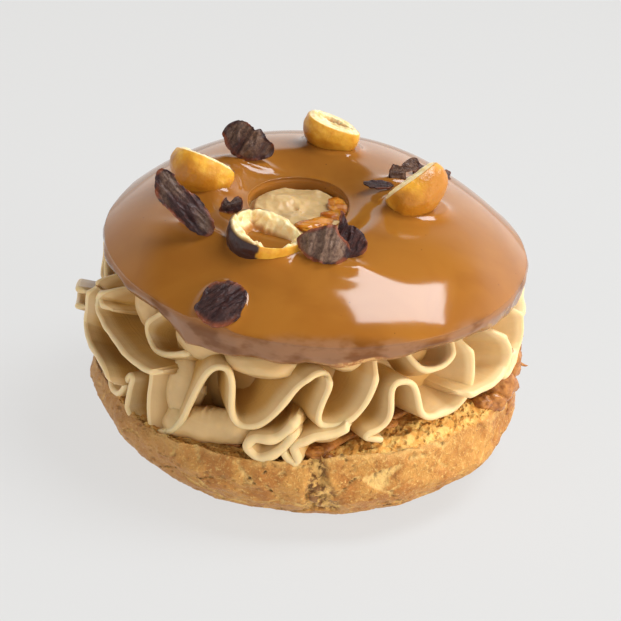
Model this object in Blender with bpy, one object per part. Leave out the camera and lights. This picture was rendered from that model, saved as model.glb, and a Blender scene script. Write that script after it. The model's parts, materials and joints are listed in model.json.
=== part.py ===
"""Paris-Brest pastry: a split ring of choux with ruffled praline cream, a caramel glaze,
hazelnut halves and flakes of hazelnut skin.

Angles are measured round the upright axis from the front (-Y), positive towards +X.
The origin is the middle of the flat underside.
"""
import math
import random

import bmesh
import bpy
from mathutils import Matrix, Vector, noise

MM = 0.001
GAP = 0.3 * MM                      # air between touching pieces
CREAM_GAP = 0.4 * MM                # a little more round the cream, whose mesh is thinned out

# Choux base
BASE_RADIUS = 50.0 * MM
BASE_FOOT_RADIUS = 34.0 * MM        # flat disc that it rests on
BASE_RIM_HEIGHT = 19.2 * MM
BASE_CUT_HEIGHT = 19.4 * MM         # crumb face at the axis
BASE_CUT_SLOPE = 0.075              # crumb face rises towards +X
CRACK_ANGLE = 7.0                   # split in the crust at the front
CRACK_WIDTH = 3.5
CRACK_DEPTH = 2.2 * MM
# Gentle departures from the round, here and in the lid: angle and spread in degrees, rise in mm
BASE_SWELLS = [(45.0, 22.0, 0.9), (-32.0, 14.0, 0.5), (-75.0, 25.0, -0.7)]
BASE_RIM_RISES = [(-72.0, 14.0, 1.6)]

# Choux top, drawn level round its own origin and then tilted
LID_RADIUS = 49.0 * MM
LID_DOME = 12.5 * MM                # from the shoulder to the top of the dome
LID_DOME_POWER = 3.5                # flat on top, falling away to a shoulder
LID_SHOULDER = 3.0 * MM             # height of the shoulder over the lid's origin
LID_LIP = 2.6 * MM                  # the edge hangs this far below the lid's origin
LID_FLATS = [(124.0, 28.0, -3.2), (-115.0, 28.0, -2.0)]    # angle, spread, rise of the radius in mm
LID_LIFTS = [(17.0, 14.0, 1.3)]     # where the lip hangs less
LID_UNDERSIDE = 2.0 * MM
LID_ORIGIN = Vector((0.0, 0.0, 49.3 * MM))
LID_NOD = math.radians(5.15)        # front edge lower than the back
LID_ROLL = math.radians(0.9)        # right edge lower than the left
HOLE_CENTRE = (-4.5 * MM, -3.8 * MM)
HOLE_HALF_WIDTH = 11.3 * MM
HOLE_HALF_DEPTH = 13.0 * MM
HOLE_DIP = 3.0 * MM                 # the dome sinks towards the hole
HOLE_DIP_REACH = 9.0 * MM

# Praline spread between the base and the cream
PRALINE_RADIUS = 41.0 * MM
PRALINE_THICKNESS = 1.3 * MM

# Cream
CORE_RADIUS = 39.0 * MM
CORE_INNER = 0.62                   # share of the core radius where its top turns level
RIBBON_ROOT_RADIUS = 36.0 * MM
RIBBON_EDGE_HALF = 0.65 * MM
RIBBON_ROOT_HALF = 1.5 * MM
RIBBON_STEPS = 10                   # stations between two turns
TUCK_RADIUS = 43.5 * MM             # the lid presses a ribbon's edge in to this radius
TUCK_HEIGHT = 3.5 * MM              # over this height below the lip
PLUG_SINK = 1.8 * MM                # cream in the hole, below the rim of the glaze
CREAM_VOXEL = 0.5 * MM
CREAM_TRIANGLES = 4600

# A ribbon is piped through its turns. Each turn is (angle in degrees, height in mm, heading in
# degrees with 0 sideways and 90 upwards, handle behind in mm, handle ahead in mm).
# reach is the edge's distance from the axis in mm; lean (degrees) and drop (mm) shift the root.
FRONT_RIBBONS = {
    "wave_left": dict(reach=47.0, lean=-11, drop=2.5, belly=0.5, turns=[
        (-41.0, 17.8, 0, 0, 8), (-22.5, 38.6, 0, 6.5, 5.5), (-15.3, 25.8, 0, 6, 7.5),
        (4.2, 40.3, 0, 6.5, 5.5), (7.0, 28.1, 0, 6.5, 7.5), (19.3, 46.0, 90, 8, 0)]),
    "wave_right": dict(reach=47.0, lean=-7, drop=1.0, belly=0.5, turns=[
        (18.5, 25.7, 0, 0, 9), (26.3, 37.8, 0, 6, 6), (38.0, 27.3, 0, 7.5, 9),
        (50.6, 35.0, 90, 5, 5), (44.0, 46.5, 135, 4, 0)]),
    "upper_right": dict(reach=45.5, lean=-3, drop=-4.0, belly=1.0, turns=[
        (27.0, 46.0, -60, 0, 4), (37.5, 38.4, 0, 5, 5), (45.5, 46.0, 92, 4, 0)]),
    "petal_right": dict(reach=49.5, lean=-5, drop=-1.0, belly=0.5, turns=[
        (44.0, 32.0, -10, 0, 8), (65.0, 35.5, 90, 5, 3), (53.0, 47.5, 140, 6, 0)]),
    "petal_far_right": dict(reach=49.3, lean=-6, drop=0.0, belly=0.5, turns=[
        (62.0, 30.0, 0, 0, 6), (77.0, 35.0, 90, 4, 4), (71.0, 47.5, 110, 4, 0)]),
    "petal_left": dict(reach=50.0, lean=9, drop=-1.0, belly=1.5, turns=[
        (-49.0, 54.0, 213, 0, 8), (-72.5, 37.5, 270, 5, 1.8), (-66.0, 35.0, -4, 2.5, 8),
        (-40.0, 33.2, 10, 8, 0)]),
    "petal_left_back": dict(reach=50.0, lean=8, drop=-2.0, belly=1.0, turns=[
        (-56.0, 56.0, 215, 0, 7), (-74.5, 42.0, 270, 5, 2), (-66.0, 38.5, -10, 2.5, 0)]),
    "petal_left_low": dict(reach=52.0, lean=8, drop=-4.0, belly=1.5, turns=[
        (-73.0, 42.0, 262, 0, 5), (-77.5, 31.0, 272, 3, 1.5), (-71.0, 29.0, 4, 2.5, 6),
        (-51.0, 32.2, 0, 5, 2), (-47.0, 27.5, -80, 2, 0)]),
    "leaf_left": dict(reach=53.8, lean=6, drop=-1.0, belly=1.0, turns=[
        (-80.0, 37.5, 190, 0, 3), (-90.0, 35.0, 265, 2, 1.2), (-85.0, 32.5, 0, 2, 3),
        (-78.0, 34.5, 10, 3, 0)]),
    "curl_left": dict(reach=48.4, lean=5, drop=1.0, belly=0.0, turns=[
        (-59.0, 24.8, 178, 0, 2.2), (-66.0, 22.0, 270, 1.8, 1.6), (-60.5, 20.0, 10, 2.5, 3.5),
        (-51.5, 28.2, 0, 2.5, 1.8), (-54.0, 20.0, 270, 4.5, 2.2), (-43.0, 17.6, 0, 4, 0)]),
    "lobe_low": dict(reach=46.3, lean=0, drop=-9.0, belly=3.0, turns=[
        (-39.0, 20.0, 15, 0, 5), (-24.0, 28.0, 12, 4, 4), (-8.0, 26.0, 0, 5, 0)]),
    "curl_middle": dict(reach=47.0, lean=2, drop=-5.5, belly=2.5, turns=[
        (0.0, 31.0, 235, 0, 3), (-8.0, 24.4, 184, 4, 3), (-13.6, 24.6, 110, 1.2, 1),
        (-11.5, 26.6, 20, 1, 0)]),
    "loop_middle": dict(reach=47.6, lean=1, drop=-1.0, belly=0.8, turns=[
        (-5.2, 25.5, 262, 0, 2.5), (-2.4, 19.6, 0, 1.5, 1.5), (0.0, 24.0, 80, 2, 1.5),
        (5.5, 26.6, 0, 2.5, 4), (14.5, 29.5, 45, 3, 0)]),
    "fold_under_lid": dict(reach=45.2, lean=4, drop=-3.0, belly=1.5, turns=[
        (-45.0, 46.0, 235, 0, 3), (-51.5, 39.0, 265, 3, 2), (-46.5, 35.0, 0, 2, 3),
        (-33.0, 39.0, 25, 4, 0)]),
}

# Round dollops: (angle in degrees, distance, height, half width, half height in mm)
DOLLOPS = [(-57, 41.5, 42.5, 5.0, 6.0), (-13, 40.0, 39.6, 9.0, 4.0), (12, 41.0, 41.6, 4.5, 3.0),
           (-33, 40.5, 40.5, 7.0, 4.5), (9, 41.0, 23.0, 7.0, 4.0), (-20, 41.5, 22.0, 8.0, 4.5)]

# Piping round the back, made by a rule: three rows of waves
BACK_START = 84.0
BACK_END = 282.0
BACK_SEED = 11
BACK_ROWS = [dict(reach=47.5, low=28.0, high=41.5, pitch=16.5, lean=-10, drop=2.0),
             dict(reach=49.0, low=37.0, high=50.0, pitch=27.0, lean=-8, drop=-2.0),
             dict(reach=48.0, low=20.0, high=28.5, pitch=24.0, lean=-6, drop=-1.0)]

# Hazelnut halves: middle of the cut face on the lid (x, y in mm), its height over the glaze,
# heading of the long axis (degrees from +X), roll round that axis, pitch along it, size
NUT_LENGTH = 15.0 * MM
NUT_WIDTH = 12.2 * MM
NUT_DEPTH = 9.0 * MM
NUTS = [(-26.6, 1.6, 5.4, -12, -36, 2, 0.94), (1.9, 22.6, 6.4, -26, -14, 10, 0.88),
        (19.2, -3.6, 5.6, 18, -34, -38, 0.94), (-11.2, -25.8, 4.2, -12, 8, 8, 1.08)]

# Flakes of papery skin: place (x, y in mm) and height over the glaze, heading, roll and pitch in
# degrees, depth of the cup and the torn outline in mm
SKINS = [
    ((-17.6, 12.6, 4.2, -4, 62, 0), 3.0, [
        (-6.1, 0.9), (-4.7, 3.5), (-1.9, 4.5), (0.5, 3.5), (1.4, 2.7), (2.8, 2.9), (4.2, 1.2), (6.1, -0.5),
        (5.8, -2.8), (2.8, -4.2), (-0.7, -4.4), (-3.7, -3.0)]),
    ((-29.2, -19.2, 7.3, -4, 60, 0), 3.6, [
        (-6.5, 6.3), (-3.5, 6.1), (-2.1, 4.2), (0.2, 2.6), (3.3, 0.9), (5.6, -1.8), (7.0, -3.9), (6.6, -6.5),
        (4.0, -6.8), (0.2, -4.9), (-3.2, -2.4), (-6.4, 0.6), (-7.0, 3.8)]),
    ((-19.3, -13.2, 2.3, 0, 60, 0), 0.8, [
        (-2.6, -1.5), (-1.7, 1.3), (-0.5, 0.6), (0.8, 1.9), (2.4, 1.3), (2.2, -0.9), (0.5, -1.8)]),
    ((1.6, -29.4, 3.9, 0, 60, 0), 3.4, [
        (-5.8, 0.9), (-3.7, 2.8), (-0.9, 3.9), (1.9, 4.4), (3.2, 2.6), (5.6, 0.2), (5.0, -2.8), (1.6, -4.0),
        (-1.9, -3.6), (-4.4, -2.1)]),
    ((7.2, -26.6, 3.6, 8, 66, 0), 2.0, [
        (-2.1, 6.2), (-0.8, 3.4), (1.6, 2.4), (3.4, 0.0), (3.6, -2.4), (1.4, -3.8), (-1.9, -3.9),
        (-3.6, -1.2), (-2.9, 2.4)]),
    ((-19.3, -41.0, 1.0, -22, 34, 0), 1.4, [
        (-3.9, 3.5), (-1.8, 4.9), (0.9, 5.6), (3.9, 4.8), (5.2, 2.9), (5.4, -0.2), (5.0, -2.7),
        (2.1, -5.2), (-0.8, -5.3), (-3.0, -4.5), (-5.0, -2.6), (-4.5, -0.4)]),
    ((17.4, 7.4, 2.2, 6, 62, 0), 1.4, [
        (-2.2, -1.6), (-1.4, 1.6), (0.2, 1.2), (0.9, 1.9), (3.0, 3.4), (4.4, 2.6), (4.6, 0.6), (1.6, -0.2),
        (1.6, -1.8)]),
    ((12.9, 2.0, 0.9, -4, 14, 0), 0.5, [
        (-3.4, 0.6), (-1.0, 1.3), (2.2, 1.6), (3.6, 0.4), (2.0, -1.0), (-1.6, -1.2)])]
SKIN_HALF = 0.3 * MM


def clear_scene():
    for item in list(bpy.data.objects):
        bpy.data.objects.remove(item, do_unlink=True)


def material(name, colour, roughness, subsurface=0.0):
    """A dielectric finish with its base colour, roughness and a little light under the skin."""
    mat = bpy.data.materials.new(name)
    mat.use_nodes = True
    shader = mat.node_tree.nodes["Principled BSDF"]
    shader.inputs["Base Color"].default_value = (*colour, 1.0)
    shader.inputs["Roughness"].default_value = roughness
    shader.inputs["Metallic"].default_value = 0.0
    shader.inputs["Subsurface Weight"].default_value = subsurface
    return mat


def add_object(name, mesh, mat):
    obj = bpy.data.objects.new(name, mesh)
    bpy.context.scene.collection.objects.link(obj)
    if mat:
        mesh.materials.append(mat)
    return obj


def mesh_from_rings(name, rings, start_cap=None, end_cap=None, closed_loop=False):
    """Skin a row of equal rings of points with quads; a cap is a single point fanned to a ring."""
    bm = bmesh.new()
    rows = [[bm.verts.new(point) for point in ring] for ring in rings]
    count = len(rows[0])
    pairs = list(zip(rows, rows[1:]))
    if closed_loop:
        pairs.append((rows[-1], rows[0]))
    for low, high in pairs:
        for i in range(count):
            j = (i + 1) % count
            bm.faces.new((low[i], low[j], high[j], high[i]))
    for cap, row in ((start_cap, rows[0]), (end_cap, rows[-1])):
        if cap is not None:
            tip = bm.verts.new(cap)
            for i in range(count):
                bm.faces.new((row[i], row[(i + 1) % count], tip))
    bmesh.ops.recalc_face_normals(bm, faces=bm.faces)
    mesh = bpy.data.meshes.new(name)
    bm.to_mesh(mesh)
    bm.free()
    mesh.shade_smooth()
    return mesh


def polar(angle, radius, height):
    """A point from its angle round the axis (degrees from the front), radius and height."""
    turn = math.radians(angle)
    return Vector((radius * math.sin(turn), -radius * math.cos(turn), height))


def smoothstep(value):
    t = min(1.0, max(0.0, value))
    return t * t * (3.0 - 2.0 * t)


def mix(a, b, t):
    return a + (b - a) * t


def bumps(point, scale, seed):
    """Soft random relief between about -1 and 1 with lumps of the given size."""
    return noise.noise(point / scale + Vector((seed, 2.3 * seed, 0.7)))


def rises(angle, items):
    """Sum of smooth rises, each (angle, spread, rise in mm)."""
    return sum(rise * math.exp(-((angle - centre) / spread) ** 2) for centre, spread, rise in items) * MM


# ---------------------------------------------------------------- choux base

def base_cut_height(point):
    return BASE_CUT_HEIGHT + BASE_CUT_SLOPE * point.x


def base_rim_height(angle):
    turn = math.radians(angle)
    wave = 0.9 * math.sin(3.0 * turn + 0.6) + 0.5 * math.sin(7.0 * turn)
    return BASE_RIM_HEIGHT + (1.9 * math.sin(turn + 0.35) + wave) * MM + rises(angle, BASE_RIM_RISES)


def crack(angle, share):
    """Depth of the split at the front, fading towards the foot (share 0 at the rim)."""
    across = (angle - CRACK_ANGLE - 3.0 * share) / CRACK_WIDTH
    return CRACK_DEPTH * math.exp(-across * across) * (1.0 - smoothstep(share * 1.1 - 0.1))


def base_rings(sectors, grow=0.0):
    """Rings from the foot up the crust, over the rim and in across the crumb."""
    profile = [(BASE_FOOT_RADIUS, 0.0), (38.5 * MM, 1.3 * MM), (43.5 * MM, 4.8 * MM),
               (47.6 * MM, 9.0 * MM), (49.7 * MM, 12.8 * MM), (BASE_RADIUS, 15.6 * MM)]
    rings = []
    for index, (radius, height) in enumerate(profile):
        share = 1.0 - index / (len(profile) - 1)
        ring = []
        for k in range(sectors):
            angle = 360.0 * k / sectors - 180.0
            lump = 1.1 * MM * bumps(polar(angle, radius, height), 14 * MM, 3.0) + rises(angle, BASE_SWELLS)
            out = radius + grow - crack(angle, share) + (lump if index else 0.0)
            ring.append(polar(angle, out, height - (grow if index == 0 else 0.0)))
        rings.append(ring)
    for radius, blend, bite in ((49.2 * MM, 0.0, 0.8), (48.0 * MM, 0.25, 0.7), (43.5 * MM, 1.0, 0.3)):
        ring = []
        for k in range(sectors):
            angle = 360.0 * k / sectors - 180.0
            lump = bumps(polar(angle, radius, 0.0), 9 * MM, 8.0)
            spot = polar(angle, radius + grow - bite * crack(angle, 0.0), 0.0)
            cut = base_cut_height(spot)
            spot.z = mix(base_rim_height(angle), cut, blend) + grow + 0.6 * MM * lump * (1.0 - blend)
            ring.append(spot)
        rings.append(ring)
    return rings


def make_base(sectors=52, grow=0.0):
    rings = base_rings(sectors, grow)
    top = Vector((0.0, 0.0, BASE_CUT_HEIGHT + grow))
    return mesh_from_rings("choux_base", rings, Vector((0.0, 0.0, -grow)), top)


# ---------------------------------------------------------------- praline spread

def praline_edge(angle):
    """Radius of the spread, which oozes out at the front and on the right."""
    front = math.exp(-((angle - 4.0) / 7.0) ** 2)
    right = math.exp(-((angle - 72.0) / 9.0) ** 2)
    wave = 0.8 * math.sin(5.0 * math.radians(angle) + 1.0)
    return PRALINE_RADIUS + (5.6 * front + 5.4 * right + wave) * MM


def praline_rise(angle):
    """The ooze on the right is heaped up against the cream."""
    return 6.0 * MM * math.exp(-((angle - 72.0) / 8.0) ** 2)


def make_praline(sectors=36, grow=0.0):
    under = 1.5 * GAP - grow
    rings = []
    for share, level in ((0.9, 0.0), (1.0, 0.35), (0.985, 0.8), (0.93, 1.0)):
        ring = []
        for k in range(sectors):
            angle = 360.0 * k / sectors - 180.0
            spot = polar(angle, praline_edge(angle) * share + grow, 0.0)
            lift = level * (PRALINE_THICKNESS + 2.0 * grow + praline_rise(angle))
            spot.z = base_cut_height(spot) + under + lift
            ring.append(spot)
        rings.append(ring)
    inner = [polar(360.0 * k / sectors - 180.0, 0.8 * PRALINE_RADIUS, 0.0) for k in range(sectors)]
    for spot in inner:
        spot.z = base_cut_height(spot) + under + PRALINE_THICKNESS + 2.0 * grow
    rings.append(inner)
    bottom = Vector((0.0, 0.0, BASE_CUT_HEIGHT + under))
    top = Vector((0.0, 0.0, bottom.z + PRALINE_THICKNESS + 2.0 * grow))
    return mesh_from_rings("praline_layer", rings, bottom, top)


# ---------------------------------------------------------------- choux top

LID_FRAME = (Matrix.Translation(LID_ORIGIN) @ Matrix.Rotation(LID_ROLL, 4, "Y")
             @ Matrix.Rotation(LID_NOD, 4, "X"))


def lid_radius(angle):
    """The ring is not quite round: it is a little flat on both sides at the back."""
    return LID_RADIUS + rises(angle, LID_FLATS)


def lid_height(x, y):
    """Height of the glaze in the lid's own frame."""
    share = min(1.0, math.hypot(x, y) / lid_radius(math.degrees(math.atan2(x, -y))))
    dome = LID_SHOULDER + LID_DOME * (1.0 - share ** LID_DOME_POWER)
    from_hole = math.hypot((x - HOLE_CENTRE[0]) / HOLE_HALF_WIDTH, (y - HOLE_CENTRE[1]) / HOLE_HALF_DEPTH)
    beyond = (from_hole - 1.0) * HOLE_HALF_WIDTH / HOLE_DIP_REACH
    return dome - HOLE_DIP * smoothstep(1.0 - beyond)


def lid_lip(angle):
    turn = math.radians(angle)
    wave = 0.35 * math.sin(4.0 * turn + 0.8) + 0.3 * math.sin(9.0 * turn)
    return LID_LIP + wave * MM - rises(angle, LID_LIFTS)


def hole_edge(angle, shrink=0.0):
    turn = math.radians(angle)
    wobble = 1.0 + 0.03 * math.sin(3.0 * turn + 1.0)
    return Vector((HOLE_CENTRE[0] + (HOLE_HALF_WIDTH * wobble - shrink) * math.sin(turn),
                   HOLE_CENTRE[1] - (HOLE_HALF_DEPTH * wobble - shrink) * math.cos(turn), 0.0))


def make_lid(sectors=44, grow=0.0):
    """Closed ring: underside, lip, side wall, dome from shoulder to hole, wall of the hole."""
    angles = [360.0 * k / sectors - 180.0 for k in range(sectors)]
    rings = []
    for inset, hang in ((5.6 * MM, 0.0), (3.0 * MM, 1.0)):
        rings.append([polar(a, lid_radius(a) - inset - grow,
                            mix(-LID_UNDERSIDE, -lid_lip(a), hang) - grow) for a in angles])
    for inset, level in ((1.3 * MM, -0.75), (0.3 * MM, 0.1), (0.0, 0.8)):
        height = (LID_SHOULDER if level > 0.0 else LID_LIP) * level
        rings.append([polar(a, lid_radius(a) - inset + grow, height) for a in angles])
    for share in (0.975, 0.89, 0.76, 0.6, 0.42, 0.26, 0.12, 0.0):
        ring = []
        for a in angles:
            hole = hole_edge(a, -grow if share > 0.0 else grow)
            spot = hole + (polar(a, lid_radius(a) + grow, 0.0) - hole) * share
            spot.z = lid_height(spot.x, spot.y) + grow
            if share == 0.0:
                spot.z -= 0.9 * MM
            ring.append(spot)
        rings.append(ring)
    bottom = [hole_edge(a, grow) for a in angles]
    for spot in bottom:
        spot.z = -LID_UNDERSIDE - grow
    rings.append(bottom)
    mesh = mesh_from_rings("choux_top", rings, closed_loop=True)
    mesh.transform(LID_FRAME)
    return mesh


# ---------------------------------------------------------------- cream

def bezier(a, b, c, d, t):
    s = 1.0 - t
    return s * s * s * a + 3.0 * s * s * t * b + 3.0 * s * t * t * c + t * t * t * d


def ribbon_line(turns, reach, steps):
    """The piped edge as (angle, height) stations through its turns."""
    per_degree = math.radians(1.0) * reach
    stations = []
    for first, last in zip(turns, turns[1:]):
        lines = []
        for turn, handle in ((first, first[4]), (last, -last[3])):
            heading = math.radians(turn[2])
            lines.append((turn[0] * per_degree, turn[1]))
            lines.append((turn[0] * per_degree + handle * math.cos(heading),
                          turn[1] + handle * math.sin(heading)))
        start, out, end, back = lines
        for k in range(steps):
            t = k / steps
            stations.append((bezier(start[0], out[0], back[0], end[0], t) / per_degree,
                             bezier(start[1], out[1], back[1], end[1], t)))
    stations.append((turns[-1][0], turns[-1][1]))
    return stations


def tucked(angle, radius, height):
    """Radius of a ribbon's edge, drawn in where the lid presses on it."""
    turn = math.radians(angle)
    lip = LID_ORIGIN.z - LID_LIP - LID_RADIUS * math.sin(LID_NOD) * math.cos(turn)
    press = smoothstep((height - lip + TUCK_HEIGHT) / TUCK_HEIGHT)
    return mix(radius, min(radius, TUCK_RADIUS), press)


def ribbon_mesh(bm, turns, reach, lean, drop, belly, shares=(0.0, 0.12, 0.5, 1.0)):
    """Add one piped ribbon: thin rounded edge outside, thick root inside the core."""
    stations = ribbon_line(turns, reach, RIBBON_STEPS)
    middle_height = sum(height for _, height in stations) / len(stations)
    sheet = []
    for angle, height in stations:
        root_height = (mix(height, middle_height, 0.25) + drop) * MM
        rim = tucked(angle, reach * MM, height * MM)
        edge = polar(angle, rim, height * MM)
        root = polar(angle + lean, RIBBON_ROOT_RADIUS, root_height)
        bend = polar(angle + 0.5 * lean, mix(rim, RIBBON_ROOT_RADIUS, 0.5) + belly * MM,
                     mix(height * MM, root_height, 0.5))
        sheet.append([edge * (1 - v) ** 2 + bend * 2 * v * (1 - v) + root * v * v for v in shares])
    rings = []
    last = len(sheet) - 1
    for i, row in enumerate(sheet):
        along = [b - a for a, b in zip(sheet[max(0, i - 1)], sheet[min(last, i + 1)])]
        upper, lower = [], []
        for j in range(1, len(shares)):
            across = row[min(j + 1, len(row) - 1)] - row[j - 1]
            half = mix(RIBBON_EDGE_HALF, RIBBON_ROOT_HALF, shares[j])
            offset = along[j].cross(across).normalized() * half
            upper.append(row[j] + offset)
            lower.append(row[j] - offset)
        rings.append([row[0]] + upper + lower[::-1])
    rows = [[bm.verts.new(point) for point in ring] for ring in rings]
    count = len(rows[0])
    faces = [bm.faces.new(rows[0]), bm.faces.new(rows[-1][::-1])]
    for low, high in zip(rows, rows[1:]):
        for k in range(count):
            m = (k + 1) % count
            faces.append(bm.faces.new((low[k], high[k], high[m], low[m])))
    bmesh.ops.recalc_face_normals(bm, faces=faces)


def back_ribbons():
    """Rows of waves round the back, each turn a little different."""
    rng = random.Random(BACK_SEED)
    ribbons = []
    for row in BACK_ROWS:
        turns = []
        angle = BACK_START + rng.uniform(-3.0, 3.0)
        crest = False
        while angle < BACK_END:
            level = row["high"] if crest else row["low"]
            fore = row["pitch"] * rng.uniform(0.38, 0.55)
            turns.append((angle, level + rng.uniform(-1.6, 1.6), rng.uniform(-8, 8), fore * 0.9, fore))
            step = 0.42 if crest else 1.25
            angle += row["pitch"] * step * rng.uniform(0.85, 1.15)
            crest = not crest
        ribbons.append(dict(reach=row["reach"], lean=row["lean"], drop=row["drop"], belly=0.6,
                            turns=turns))
    return ribbons


def core_mesh(sectors=28):
    """The body of cream behind the ruffles, with the plug that fills the lid's hole."""
    angles = [360.0 * k / sectors - 180.0 for k in range(sectors)]
    floor = BASE_CUT_HEIGHT + PRALINE_THICKNESS + GAP + 1.5 * CREAM_GAP
    top = -LID_UNDERSIDE - 1.5 * CREAM_GAP
    rings = []
    for share in (0.55, 0.93):
        ring = [polar(a, CORE_RADIUS * share, 0.0) for a in angles]
        for spot in ring:
            spot.z = floor + BASE_CUT_SLOPE * spot.x
        rings.append(ring)
    from_lid = LID_FRAME.inverted()
    for share, level in ((1.0, 0.25), (1.01, 0.6), (1.0, 0.85)):
        ring = []
        for a in angles:
            low = polar(a, CORE_RADIUS * share, floor)
            low.z += BASE_CUT_SLOPE * low.x
            high = from_lid @ low
            high.z = top
            high = LID_FRAME @ high
            ring.append(low.lerp(high, level))
        rings.append(ring)
    for share in (0.95, CORE_INNER):
        rings.append([LID_FRAME @ polar(a, CORE_RADIUS * share, top) for a in angles])
    rim_height = lid_height(HOLE_CENTRE[0] + HOLE_HALF_WIDTH, HOLE_CENTRE[1])
    crown_height = rim_height - PLUG_SINK
    for shrink, level in ((0.0, top), (0.0, crown_height - 2.2 * MM),
                          (1.6 * MM, crown_height - 0.6 * MM), (5.5 * MM, crown_height)):
        ring = [hole_edge(a, 1.5 * CREAM_GAP + shrink) for a in angles]
        for spot in ring:
            spot.z = level
        rings.append([LID_FRAME @ spot for spot in ring])
    crown = LID_FRAME @ Vector((HOLE_CENTRE[0], HOLE_CENTRE[1], crown_height + 0.3 * MM))
    return mesh_from_rings("praline_cream", rings, Vector((0.0, 0.0, floor)), crown)


def dollop(bm, angle, distance, height, half_width, half_height):
    place = Matrix.Translation(polar(angle, distance * MM, height * MM))
    turn = Matrix.Rotation(math.radians(angle), 4, "Z")
    size = Matrix.Diagonal((half_width * MM, 0.75 * half_width * MM, half_height * MM, 1.0))
    bmesh.ops.create_icosphere(bm, subdivisions=2, radius=1.0, matrix=place @ turn @ size)


def piped_mesh():
    """Core, ribbons and dollops in one mesh, still overlapping each other."""
    bm = bmesh.new()
    bm.from_mesh(core_mesh())
    for ribbon in list(FRONT_RIBBONS.values()) + back_ribbons():
        ribbon_mesh(bm, **ribbon)
    for spec in DOLLOPS:
        dollop(bm, *spec)
    mesh = bpy.data.meshes.new("praline_cream")
    bm.to_mesh(mesh)
    bm.free()
    return mesh


def bake_modifiers(obj):
    """Replace an object's mesh by its evaluated one."""
    evaluated = obj.evaluated_get(bpy.context.evaluated_depsgraph_get())
    result = bpy.data.meshes.new_from_object(evaluated)
    obj.modifiers.clear()
    obj.data = result


def cut(obj, tool_mesh):
    """Take a helper mesh out of an object with an exact Boolean and drop the helper again."""
    tool = add_object("helper", tool_mesh, None)
    modifier = obj.modifiers.new("cut", "BOOLEAN")
    modifier.object = tool
    modifier.operation = "DIFFERENCE"
    modifier.solver = "EXACT"
    bake_modifiers(obj)
    bpy.data.objects.remove(tool, do_unlink=True)


def thin_out(obj, triangles):
    """Collapse the least useful edges until about this many triangles are left."""
    count = sum(len(face.vertices) - 2 for face in obj.data.polygons)
    modifier = obj.modifiers.new("thin", "DECIMATE")
    modifier.ratio = min(1.0, triangles / count)
    modifier.use_collapse_triangulate = True
    bake_modifiers(obj)


def fuse(obj):
    """Melt overlapping closed bodies into one skin of small even faces."""
    modifier = obj.modifiers.new("fuse", "REMESH")
    modifier.mode = "VOXEL"
    modifier.voxel_size = CREAM_VOXEL
    bake_modifiers(obj)


def keep_largest_piece(mesh):
    """Delete offcuts that the cuts left loose."""
    bm = bmesh.new()
    bm.from_mesh(mesh)
    unseen = set(bm.faces)
    pieces = []
    while unseen:
        stack = [unseen.pop()]
        piece = []
        while stack:
            face = stack.pop()
            piece.append(face)
            for edge in face.edges:
                for other in edge.link_faces:
                    if other in unseen:
                        unseen.remove(other)
                        stack.append(other)
        pieces.append(piece)
    pieces.sort(key=len)
    loose = [face for piece in pieces[:-1] for face in piece]
    bmesh.ops.delete(bm, geom=loose, context="FACES")
    bm.to_mesh(mesh)
    bm.free()


def make_cream(mat):
    """Fuse the piping, cut it clear of lid, base and praline, and thin out its mesh."""
    cream = add_object("praline_cream", piped_mesh(), None)
    fuse(cream)
    thin_out(cream, 3 * CREAM_TRIANGLES)
    cut(cream, make_lid(grow=CREAM_GAP))
    cut(cream, make_base(grow=CREAM_GAP))
    fuse(cream)
    thin_out(cream, CREAM_TRIANGLES)
    cut(cream, make_praline(grow=CREAM_GAP))
    keep_largest_piece(cream.data)
    cream.data.materials.append(mat)
    cream.data.shade_smooth()


# ---------------------------------------------------------------- toppings

def nut_mesh(name, size, sectors=14, grow=0.0):
    """Most of half a hazelnut: blunt at one end, pointed at the other, with a cleft in its cut face."""
    profile = [(0.36, -0.20), (0.54, 0.0), (0.84, 0.0), (0.93, -0.08), (1.0, -0.32), (0.93, -0.58),
               (0.70, -0.82), (0.38, -0.96)]
    rings = []
    for share, level in profile:
        ring = []
        for k in range(sectors):
            turn = 2.0 * math.pi * k / sectors
            along = math.cos(turn)
            x = NUT_LENGTH * share * (along + 0.12 * max(0.0, along) ** 3) * 0.5
            y = NUT_WIDTH * share * math.sin(turn) * (1.0 - 0.16 * along) * 0.5
            if share < 0.6 and level > -0.5:
                x, y = x * 1.1, y * 0.5
            ring.append(Vector((x, y, level * NUT_DEPTH)) * size)
        rings.append(ring)
    cleft = Vector((0.0, 0.0, -0.26 * NUT_DEPTH)) * size
    pole = Vector((0.0, 0.0, -NUT_DEPTH * size))
    mesh = mesh_from_rings(name, rings, cleft, pole)
    normals = [vertex.normal.copy() for vertex in mesh.vertices]
    for vertex, normal in zip(mesh.vertices, normals):
        vertex.co += normal * grow
    return mesh


def skin_mesh(name, cup, outline):
    """A cupped flake of skin within its torn outline, thin but solid."""
    middle = sum((Vector((*spot, 0.0)) for spot in outline), Vector()) / len(outline)
    size = max((Vector((*spot, 0.0)) - middle).length for spot in outline)
    rings = []
    for share, side in ((0.5, SKIN_HALF), (1.0, SKIN_HALF), (1.0, -SKIN_HALF), (0.5, -SKIN_HALF)):
        ring = []
        for spot in outline:
            out = (Vector((*spot, 0.0)) - middle) * share
            bow = cup * (0.5 - 0.55 * out.length_squared / size ** 2)
            ring.append((middle + out + Vector((0.0, 0.0, bow))) * MM + Vector((0.0, 0.0, side)))
        rings.append(ring)
    crown = (middle + Vector((0.0, 0.0, 0.5 * cup))) * MM
    lift = Vector((0.0, 0.0, SKIN_HALF))
    return mesh_from_rings(name, rings, crown + lift, crown - lift)


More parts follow.
